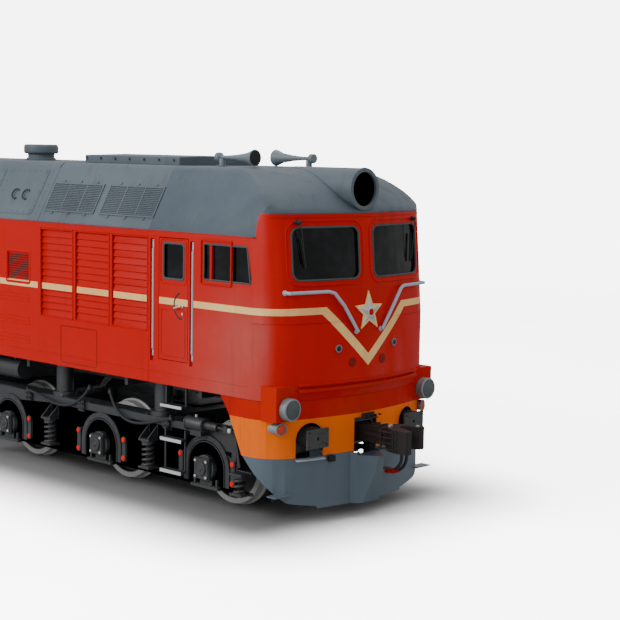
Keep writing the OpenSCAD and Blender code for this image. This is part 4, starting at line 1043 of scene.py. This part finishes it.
def archRims(v):
    # a raised horseshoe round each axle opening, with an inner lip and a row of bolts on the legs
    rims, bolts = [], []
    turn = np.linspace(0, np.pi, 25)
    for axle in bogie["axles"]:
        for radius, wide, proud in ((v["radius"], v["wide"], v["proud"]), (0.333, 0.014, 0.030)):
            legs = np.linspace(bogie["axleHigh"] - 0.20, bogie["axleHigh"], 3)[:-1]
            x = np.concatenate([np.full(2, radius), radius * np.cos(turn), np.full(2, -radius)]) + axle
            z = np.concatenate([legs, bogie["axleHigh"] + radius * np.sin(turn), legs[::-1]])
            path = np.stack([x, np.full_like(x, bogie["plate"] - proud / 2), z], -1)
            half = strip(-wide / 2, -proud / 2 - 0.003, wide / 2, proud / 2)
            rims.append(swept(path, half, outside))
        spots = np.linspace(0.15, 0.85, 7) * np.pi
        bolts.append(domes(np.stack([axle + v["radius"] * np.cos(spots),
            np.full(7, bogie["plate"] - v["proud"]), bogie["axleHigh"] + v["radius"] * np.sin(spots)], -1),
            outside, 0.010, 0.009, 6))
        rims.append(blocks([(axle, bogie["plate"] - 0.012, 0.29)], (0.50, 0.020, 0.050)))
        rims.append(blocks([(axle - 0.2, bogie["plate"] - 0.018, 0.33),
            (axle + 0.2, bogie["plate"] - 0.018, 0.33)], (0.03, 0.036, 0.14)))
    bogiePiece("arch_rims", rims, "gear", bevel=0.003)
    bogiePiece("arch_bolts", bolts, "gear")


fitting = {"stepSpan": (1.39, 1.79), "steps": (0.824, 0.414), "edge": -1.470, "bodyStep": (5.69, 6.09, 1.254)}


def bogieFittings(v):
    # pale step edges, the brake cylinder's flanges and fork, cable boxes, conduits with clips, and sand pipes
    middle, span = sum(v["stepSpan"]) / 2, v["stepSpan"][1] - v["stepSpan"][0]
    edges = [blocks([(middle, v["edge"] - 0.003, height) for height in v["steps"]], (span, 0.012, 0.042))]
    bogiePiece("step_edges", edges, "stepPale", bevel=0.002)
    brake = []
    for x in (1.845, 2.150):
        brake.append(spun([(0.088, -0.010), (0.096, -0.008), (0.096, 0.008), (0.088, 0.010)],
            (x, -1.387, 1.080), ahead, 32))
        turn = np.arange(8) * np.pi / 4 + 0.3
        brake.append(domes(np.stack([np.full(8, x + 0.008), -1.387 + 0.082 * np.cos(turn) * 0.98,
            1.080 + 0.082 * np.sin(turn)], -1), ahead, 0.010, 0.010, 6))
    brake.append(spun([(0.052, 0.0), (0.056, 0.02), (0.050, 0.05), (0.056, 0.08), (0.050, 0.11), (0.056, 0.14),
        (0.044, 0.17), (0.030, 0.18)], (2.190, -1.387, 1.080), ahead, 24))
    brake.append(blocks([(2.60, -1.420, 1.080), (2.60, -1.354, 1.080)], (0.13, 0.014, 0.07)))
    brake.append(swept(np.array([[2.62, -1.345, 1.07], [2.66, -1.33, 0.86], [2.70, -1.32, 0.62]]),
        strip(-0.022, -0.01, 0.022, 0.01), outside))
    bogiePiece("brake_fittings", brake, "gear", bevel=0.002)
    pin = spun([(0.030, -0.052), (0.030, 0.044), (0.016, 0.050)], (2.62, -1.387, 1.080), outside, 18)
    knobs = [pin, spun([(0.016, 0), (0.016, 0.03), (0.004, 0.034)], (1.98, -1.387, 1.165), overhead, 12)]
    bogiePiece("brake_pins", knobs, "silver")
    cables = []
    for x in (-1.62, -0.42, 1.34):
        cables.append(blocks((x, -1.316, 0.985), (0.115, 0.034, 0.150)))
        cables.append(moved(spun([(0.024, 0.0), (0.024, 0.020), (0.014, 0.021), (0.012, 0.008)], (0, 0, 0),
            outside, 14), [(x + a * 0.028, -1.332, 0.985 + b * 0.034) for a in (-1, 1) for b in (-1, 1)]))
    bogiePiece("cable_boxes", cables, "gear", bevel=0.003)
    pipes, clips = [], []
    for height, radius, across in ((1.030, 0.013, -1.268), (0.998, 0.009, -1.264)):
        x = np.linspace(-2.95, 1.25, 30)
        pipes.append(swept(np.stack([x, np.full(30, across), height + 0.006 * np.sin(x * 5)], -1),
            ringProfile(radius, 8), overhead))
        clips.append(blocks([(place, across - radius, height) for place in np.arange(-2.7, 1.2, 0.6)],
            (0.03, 0.012, 0.05)))
    turn = np.linspace(0, 1, 14)
    for end in (-1, 1):
        sand = np.stack([end * (2.98 - 0.22 * turn ** 2), -0.80 + 0.0 * turn, 0.92 - 0.80 * turn], -1)
        pipes.append(swept(sand, ringProfile(0.020, 10), (0, 1, 0)))
    bogiePiece("conduits", pipes, "gear")
    bogiePiece("conduit_clips", clips, "gear")
    left, right, height = v["bodyStep"]
    newPiece("body_step_edges", blocks(((left + right) / 2, v["edge"] - 0.003, height),
        (right - left, 0.012, 0.036)), "stepPale", bevel=0.002)


lamp = {"centre": (7.845, -1.265, 1.440), "marker": (7.712, -1.320, 1.193)}


def endLamps(v):
    x, y, z = v["centre"]
    bezel = spun([(0.137, -0.05), (0.139, -0.004), (0.132, 0.006), (0.118, 0.008), (0.112, -0.004)], (x, y, z),
        ahead, 40)
    lens = spun([(0.113, -0.004), (0.104, 0.008), (0.080, 0.017), (0.045, 0.023), (0.004, 0.025)], (x, y, z),
        ahead, 40)
    dish = spun([(0.110, 0.0), (0.100, 0.003), (0.070, 0.004), (0.03, 0.005), (0.004, 0.006)], (x, y, z), ahead,
        40)
    newPiece("lamp_bezels", bezel, "lampRim")
    newPiece("lamp_dishes", dish, "lampInside")
    newPiece("lamp_lenses", lens, "lampGlass")
    x, y, z = v["marker"]
    ring = spun([(0.060, -0.03), (0.074, -0.02), (0.076, 0.006), (0.066, 0.012), (0.060, 0.004)], (x, y, z),
        (1, -0.35, 0), 30)
    red = spun([(0.061, 0.0), (0.052, 0.012), (0.030, 0.020), (0.003, 0.023)], (x, y, z), (1, -0.35, 0), 30)
    newPiece("marker_rings", ring, "lampRim")
    newPiece("marker_lenses", red, "markerRed")


bigLamp = {"mouth": (7.791, 0.0, 4.045), "bore": 0.212}


def bigHeadlights(v):
    x, y, z = v["mouth"]
    bore = v["bore"]
    lip = spun([(0.258, -0.03), (0.266, -0.012), (0.262, 0.004), (0.240, 0.010), (bore, 0.004), (bore, -0.03)],
        (x, y, z), ahead, 48)
    dish = spun([(bore * 0.99, -0.16), (bore * 0.86, -0.225), (bore * 0.6, -0.27), (bore * 0.3, -0.30),
        (0.02, -0.31)], (x, y, z), ahead, 40)
    bulb = spun([(0.02, -0.30), (0.022, -0.25), (0.03, -0.22), (0.022, -0.19), (0.003, -0.18)], (x, y, z),
        ahead, 16)
    lens = spun([(bore, -0.135), (bore * 0.9, -0.125), (bore * 0.6, -0.105), (bore * 0.3, -0.096),
        (0.004, -0.092)], (x, y, z), ahead, 40)
    newPiece("headlight_lips", lip, "roof", turns=ends)
    newPiece("headlight_dishes", dish, "lampInside", turns=ends)
    newPiece("headlight_bulbs", bulb, "cream", turns=ends)
    newPiece("headlight_lenses", lens, "glass", turns=ends)


frontEnd = {"lipHigh": 0.792, "lips": (0.70, 1.10)}


def endFittings(v):
    # lips under the band, dark notch blocks beside the coupler as painted shade, pad bosses with small dark
    # spots as painted shade of holes, and bolts along the apron
    lips = []
    across = np.linspace(-v["lips"][1], -v["lips"][0], 9)
    path = np.stack([noseReach(across, 0.8) - 0.004, across, np.full(9, v["lipHigh"])], -1)
    lips.append(swept(path, np.array([[-0.010, -0.012], [0.034, -0.012], [0.034, 0.004], [-0.010, 0.012]]),
        overhead))
    newPiece("apron_lips", lips, "rail", bevel=0.002)
    # a black block in each notch beside the coupler: painted shade of the recess
    notch = blocks([(7.872, -0.60, 0.775)], (0.05, 0.095, 0.075))
    newPiece("apron_notches", notch, "shade", bevel=0.003)
    # small black spots on the pad face: painted shade of its holes
    small = [(7.922, -0.897 + x, 1.060 + z) for x in (0.03, 0.07, 0.11) for z in (-0.062, 0.062)]
    spots = moved(spun([(0.0075, -0.001), (0.0075, 0.0012), (0.002, 0.0012)], (0, 0, 0), ahead, 8), small)
    newPiece("pad_spots", spots, "shade")
    boss = spun([(0.135, -0.17), (0.135, -0.024), (0.118, -0.020)], (7.922, -0.897, 1.060), ahead, 36)
    newPiece("pad_bosses", boss, "shade", bevel=0.002)
    y = -np.array([0.24, 0.34, 0.62, 0.72, 1.12, 1.2])
    bolts = domes(np.stack([noseReach(y, 0.9) - 0.015, y, np.full(6, 0.86)], -1), ahead, 0.010, 0.008, 8)
    newPiece("apron_bolts", bolts, "apron")


coupling = {"low": 0.895, "high": 1.179}


def couplerRibs(v):
    # cast ribs along the head and shank, and two pins on top, all swinging with the coupler
    shapes = []
    for height in np.linspace(v["low"] + 0.04, v["high"] - 0.04, 4):
        shapes.append(blocks((8.47, -0.262, height), (0.30, 0.020, 0.018)))
    shapes.append(blocks([(8.36, -0.255, 1.037), (8.56, -0.262, 1.037)], (0.020, 0.020, 0.25)))
    shapes.append(blocks([(8.05 + 0.12 * index, 0, 1.154) for index in range(3)], (0.018, 0.17, 0.03)))
    shapes.append(blocks([(8.10, -0.095, 1.04), (8.10, 0.095, 1.04)], (0.29, 0.016, 0.05)))
    pins = [spun([(0.032, -0.02), (0.032, 0.026), (0.02, 0.034), (0.003, 0.036)], (8.40, -0.13, v["high"]),
        overhead, 18)]
    pins.append(spun([(0.026, 0), (0.026, 0.02), (0.004, 0.026)], (8.62, 0.12, v["high"]), overhead, 14))
    for end, turn in zip(("front", "rear"), ends):
        newPiece(f"{end}_coupler_ribs", shapes, "coupler", f"{end}_coupling", bevel=0.004, turns=[turn])
        newPiece(f"{end}_coupler_pins", pins, "steel", f"{end}_coupling", bevel=0.003, turns=[turn])


hornMouths = {"places": ((6.262, -0.400, 1), (5.840, 0.400, -1)), "high": 4.398, "radius": 0.098}


def hornInsides(v):
    # a dark disc just inside each horn mouth: painted shade of the horn's bore
    shapes = [spun([(v["radius"], -0.006), (v["radius"] * 0.96, 0.0015), (0.003, 0.0015)], (x, y, v["high"]),
        (facing, 0, 0), 30) for x, y, facing in v["places"]]
    newPiece("horn_insides", shapes, "shade", turns=ends)


bogieSprings(spring)
axleBoxFittings(cover)
archRims(arch)
bogieFittings(fitting)
print("bogie fittings made")
endLamps(lamp)
bigHeadlights(bigLamp)
endFittings(frontEnd)
couplerRibs(coupling)
hornInsides(hornMouths)
print("lamps and end fittings made")

hoses = {"radius": 0.020, "sides": 14, "steps": 29, "foot": 7.915, "starts": (0.390, 0.490),
    "holds": (0.330, 0.420), "holdHeights": (0.500, 0.480), "high": 0.870}


def curveRoute(start, first, second, finish, steps):
    # cubic curve with two handles: (1-t)^3 a + 3(1-t)^2 t b + 3(1-t) t^2 c + t^3 d
    t = np.linspace(0, 1, steps)[:, None]
    s = 1 - t
    return s ** 3 * np.array(start) + 3 * s * s * t * np.array(first) + 3 * s * t * t * np.array(second) + t ** 3 * np.array(finish)


def hosePiece(name, route, radius, sides, body, turn):
    # rubber tube along the route
    route = route @ turn.T
    angle = np.arange(sides) * 2 * np.pi / sides
    around = radius * np.stack([np.cos(angle), np.sin(angle)], -1)
    piece = newPiece(name, swept(route, around, (0.02, 0.01, 1)), "rubber", body, turns=asDrawn)
    return piece


def brakeHoses(v):
    fittings, holders, tips = [], [], []
    around = np.stack([np.cos(np.arange(14) * np.pi / 7), np.sin(np.arange(14) * np.pi / 7)], -1)
    for place, (across, hold, low) in enumerate(zip(v["starts"], v["holds"], v["holdHeights"])):
        start, finish = np.array([v["foot"], across, v["high"]]), np.array([v["foot"] + 0.030, hold, low])
        route = curveRoute(start, start + (0.30, 0.03, 0.03), finish + (0.32, 0.03, 0.0), finish, v["steps"])
        for end, turn in zip(("front", "rear"), ends):
            hosePiece(f"{end}_brake_hose_{place + 1}", route, v["radius"], v["sides"], "locomotive", turn)
        fittings.append(spun([(0.024, -0.115), (0.032, -0.113), (0.032, -0.030), (0.040, -0.028),
            (0.040, -0.004), (0.025, 0.0), (0.025, 0.004), (0.020, 0.005)], start, ahead, 18))
        fittings.append(blocks([start + (-0.016, 0, 0.052)], (0.008, 0.008, 0.020)))
        fittings.append(blocks([start + (-0.016, 0.030, 0.074)], (0.009, 0.045, 0.006)))
        fittings.append(swept(route[1:4], around * 0.0245, (0.02, 0.01, 1)))
        tips.append(swept(route[-6:-1], around * 0.0245, (0.02, 0.01, 1)))
        tips.append(swept(route[-3:], around * 0.0280, (0.02, 0.01, 1)))
        holders.append(blocks([(v["foot"] - 0.030, (hold + across) / 2, low + 0.025)],
            (0.065, (across - hold) / 2 + 0.030, 0.012)))
    cocks = newPiece("brake_hose_cocks", fittings, "coupler", bevel=0.002, turns=ends)
    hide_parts("brake_hoses")
    newPiece("brake_hose_holders", holders, "gear", bevel=0.002, turns=ends)
    newPiece("brake_hose_heads", tips, "redPlain", bevel=0.001, turns=ends)


bogieLines = {"radius": 0.020, "sides": 12, "steps": 33, "routes": (
    ((-1.631, 1.335, 1.060), (-1.250, 1.345, 1.050), (-0.700, 1.345, 0.700), (-0.228, 1.335, 1.262)),
    ((0.208, 1.335, 1.262), (0.420, 1.345, 0.760), (0.860, 1.345, 0.900), (1.440, 1.335, 1.068)))}


def bogieHoses(v):
    clamps = []
    for route in v["routes"]:
        for x, y, z in (route[0], route[3]):
            clamps.append(blocks([(x, y - 0.030, z - 0.020)], (0.030, 0.018, 0.046)))
            clamps.append(blocks([(x, y, z + 0.033)], (0.030, 0.030, 0.012)))
            clamps.append(spun([(0.020, -0.026), (0.027, -0.024), (0.027, 0.020), (0.020, 0.022)], (x, y, z),
                overhead, 14))
    for end, turn in zip(("front", "rear"), ends):
        shift = turn @ np.array([4.3, 0, 0])
        for across, side in zip(("left", "right"), sides):
            for place, route in enumerate(v["routes"]):
                line = curveRoute(*route, v["steps"]) @ side.T + (4.3, 0, 0)
                hosePiece(f"{end}_{across}_bogie_hose_{place + 1}", line, v["radius"], v["sides"],
                    f"{end}_bogie", turn)
        shape = moved(copied(copied(joined(clamps), sides), [turn]), [shift])
        piece = newPiece(f"{end}_hose_clamps", shape, "gear", f"{end}_bogie", bevel=0.002, turns=asDrawn)
        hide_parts(f"{end}_bogie_hoses")


seats = {"place": (6.520, -0.760), "floor": 1.600, "half": 0.225, "low": 0.372, "high": 0.480,
    "backX": (-0.288, -0.202), "backHalf": 0.215, "backLow": 0.440, "backHigh": 1.045, "pull": 0.035}


def cushion(half, thick, crown, pull):
    # rounded outline (x, y) scaled ring by ring: sides pulled in by pull (1 - (y/b)^2), top raised by crown
    # (1 - (x/a)^2)(1 - (y/b)^2)
    a, b = half
    loop = filled(roundedLoop((-a, -b), (a, b), 0.045), 0.02)
    near = 1 - np.stack([(loop[:, 1] / b) ** 2, (loop[:, 0] / a) ** 2], -1)
    loop = loop * (1 - pull * near)
    rings = np.array([(0.0, 0.0), (0.45, 0.0), (0.88, 0.0), (0.965, 0.10), (1.0, 0.30), (1.0, 0.52),
        (0.985, 0.68), (0.95, 0.80), (0.88, 0.90), (0.76, 0.95), (0.72, 0.935), (0.68, 0.95), (0.45, 0.99),
        (0.2, 1.0), (0.0, 1.0)])
    flat = rings[:, :1, None] * loop[None]
    bulge = np.clip(1 - (flat[..., 0] / a) ** 2, 0, 1) * np.clip(1 - (flat[..., 1] / b) ** 2, 0, 1)
    high = rings[:, 1:2] * (thick - crown) + bulge * crown * (rings[:, 1:2] > 0.5)
    points = np.concatenate([flat, high[..., None]], -1)
    return points.reshape(-1, 3), gridFaces(len(rings), len(loop))


def driverSeats(v):
    stand = []
    origin = np.array([*v["place"], v["floor"]])
    stand.append(spun([(0.150, 0.0), (0.150, 0.022), (0.142, 0.030), (0.060, 0.036), (0.045, 0.060),
        (0.045, 0.330), (0.110, 0.345), (0.110, 0.366)], origin, overhead, 28))
    stand.append(blocks([origin + (0, 0, 0.367)], (0.19, 0.19, 0.006)))
    stand.append(blocks([origin + (-0.245, side, 0.50) for side in (-0.14, 0.14)], (0.012, 0.020, 0.13)))
    piece = newPiece("seat_pedestals", stand, "gear", bevel=0.002)
    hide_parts("driver_seats")
    pad, faces = cushion((v["half"], v["half"]), v["high"] - v["low"], 0.028, v["pull"])
    back, backFaces = cushion(((v["backHigh"] - v["backLow"]) / 2, v["backHalf"]),
        v["backX"][1] - v["backX"][0], 0.024, v["pull"])
    upright = np.stack([back[:, 2] + v["backX"][0], back[:, 1], back[:,
        0] + (v["backHigh"] + v["backLow"]) / 2], -1)
    for corner, turn in zip(("front_right", "front_left", "rear_left", "rear_right"), corners):
        seat = newPiece(f"{corner}_seat_cushion", ((pad + (0, 0, v["low"]) + origin) @ turn.T, faces),
            "leather", sharp=60, turns=asDrawn)
        rest = newPiece(f"{corner}_seat_back", ((upright + origin) @ turn.T, backFaces), "leather", sharp=60,
            turns=asDrawn)


brakeHoses(hoses)
bogieHoses(bogieLines)
driverSeats(seats)
print("hoses and seats made")

pocket = {"back": 7.16, "front": 7.875, "half": 0.30, "low": 0.768, "high": 1.245, "thick": 0.005}
bandLip = {"high": 1.636, "out": 0.030, "half": 1.085}


def couplerPocket(v):
    # near-black walls behind the coupler opening as painted shade of the pocket, and a head block over the
    # shank
    along, middle = (v["front"] - v["back"]) / 2, (v["front"] + v["back"]) / 2
    rise, level = (v["high"] - v["low"]) / 2, (v["high"] + v["low"]) / 2
    walls = [blocks([(middle, 0, v["low"]), (middle, 0, v["high"])], (along, v["half"], v["thick"])),
        blocks([(v["back"], 0, level)], (v["thick"], v["half"], rise)),
        blocks([(middle, -v["half"], level), (middle, v["half"], level)], (along, v["thick"], rise))]
    newPiece("coupler_pockets", walls, "dark", turns=ends)
    head = [blocks([(7.965, 0, 1.222)], (0.085, 0.205, 0.012)), blocks([(7.925, 0, 1.262)],
        (0.020, 0.215, 0.040))]
    head.append(blocks([(7.975, side, 1.248) for side in (-0.16, -0.08, 0, 0.08, 0.16)], (0.045, 0.008, 0.022)))
    newPiece("coupler_strikers", head, "coupler", bevel=0.003, turns=ends)


def bandLips(v):
    # overhanging lip along the top of the coloured band, between the lamp boxes
    across = np.linspace(-v["half"], v["half"], 41)
    path = np.stack([noseReach(across, 0.8) + v["out"] - 0.03, across, np.full(41, v["high"])], -1)
    shape = swept(path, np.array([[-0.03, -0.020], [0.030, -0.020], [0.034, -0.014], [0.034, 0.012],
        [0.022, 0.024], [-0.03, 0.024]]), overhead)
    newPiece("band_lips", shape, "apron", bevel=0.003, turns=ends)


couplerPocket(pocket)
bandLips(bandLip)
print("coupler pocket and band lips made")

stageValues = {"floorSize": 160, "floor": "#F4F4F4", "near": 15, "far": 32, "ambient": 0.75, "shown": 6.5,
    "floorGain": 7.0, "shade": 0.045, "shadeReach": 2.3}


def makeStage(values):
    # a square floor at the ground whose far part fades into the plain background; both show paler to the camera
    # than they light, and near the engine the floor carries a painted contact shadow
    size = values["floorSize"]
    mesh = bpy.data.meshes.new("studioFloor")
    mesh.from_pydata([(-size, -size, 0), (size, -size, 0), (size, size, 0), (-size, size, 0)], [],
        [(0, 1, 2, 3)])
    floor = bpy.data.objects.new("studioFloor", mesh)
    bpy.context.scene.collection.objects.link(floor)
    material, tree, shader, place = newFinish("studioFloor")
    out = next(node for node in tree.nodes if node.type == "OUTPUT_MATERIAL")
    tree.nodes.remove(shader)
    along, across, _ = parts(tree, place)
    away = farFrom(tree, along, across)
    seen = tree.nodes.new("ShaderNodeLightPath").outputs["Is Camera Ray"]
    tone = blendColour(tree, spread(tree, cloud(tree, place, 0.4, 3), 0.3, 0.7, 0, 0.6), values["floor"],
        "#EDEDED")
    gain = tree.nodes.new("ShaderNodeVectorMath")
    gain.operation = "SCALE"
    put(tree, gain.inputs[0], tone)
    # painted shadow: to the camera the floor darkens towards the engine's footprint, down to the shade value
    # beside it and back to full brightness within shadeReach
    overX = calc(tree, "MAXIMUM", calc(tree, "SUBTRACT", calc(tree, "ABSOLUTE", along), 7.4), 0)
    overY = calc(tree, "MAXIMUM", calc(tree, "SUBTRACT", calc(tree, "ABSOLUTE", across), 1.45), 0)
    beside = farFrom(tree, overX, overY)
    shown = times(tree, spread(tree, beside, 0.0, values["shadeReach"], values["shade"], 1.0),
        values["floorGain"])
    put(tree, gain.inputs["Scale"], calc(tree, "ADD", times(tree, seen, shown),
        times(tree, calc(tree, "SUBTRACT", 1.0, seen), 0.5)))
    matt = tree.nodes.new("ShaderNodeBsdfDiffuse")
    put(tree, matt.inputs[0], gain.outputs[0])
    glow = tree.nodes.new("ShaderNodeEmission")
    put(tree, glow.inputs[1], spread(tree, seen, 0, 1, values["ambient"], values["shown"]))
    mix = tree.nodes.new("ShaderNodeMixShader")
    put(tree, mix.inputs[0], spread(tree, away, values["near"], values["far"]))
    tree.links.new(matt.outputs[0], mix.inputs[1])
    tree.links.new(glow.outputs[0], mix.inputs[2])
    tree.links.new(mix.outputs[0], out.inputs[0])
    mesh.materials.append(material)
    world = bpy.data.worlds.new("studioWorld")
    bpy.context.scene.world = world
    world.use_nodes = True
    sky = world.node_tree.nodes["Background"]
    sky.inputs[0].default_value = (1, 1, 1, 1)
    seen = world.node_tree.nodes.new("ShaderNodeLightPath").outputs["Is Camera Ray"]
    put(world.node_tree, sky.inputs[1], spread(world.node_tree, seen, 0, 1, values["ambient"], values["shown"]))


def areaLight(name, place, aim, size, power):
    data = bpy.data.lights.new(name, "AREA")
    data.shape, data.size, data.size_y, data.energy = "RECTANGLE", size[0], size[1], power
    light = bpy.data.objects.new(name, data)
    bpy.context.scene.collection.objects.link(light)
    light.location = place
    light.rotation_euler = (Vector(aim) - Vector(place)).to_track_quat("-Z", "Y").to_euler()


makeStage(stageValues)
areaLight("sideKey", (-2, -22, 14), (0, 0, 2), (16, 8), 3800)
areaLight("topFill", (4, 4, 22), (0, 0, 2), (20, 10), 1800)
areaLight("lowFill", (5, -12, 1.4), (3, -1.3, 0.7), (14, 1.6), 150)
print("stage and lights made")
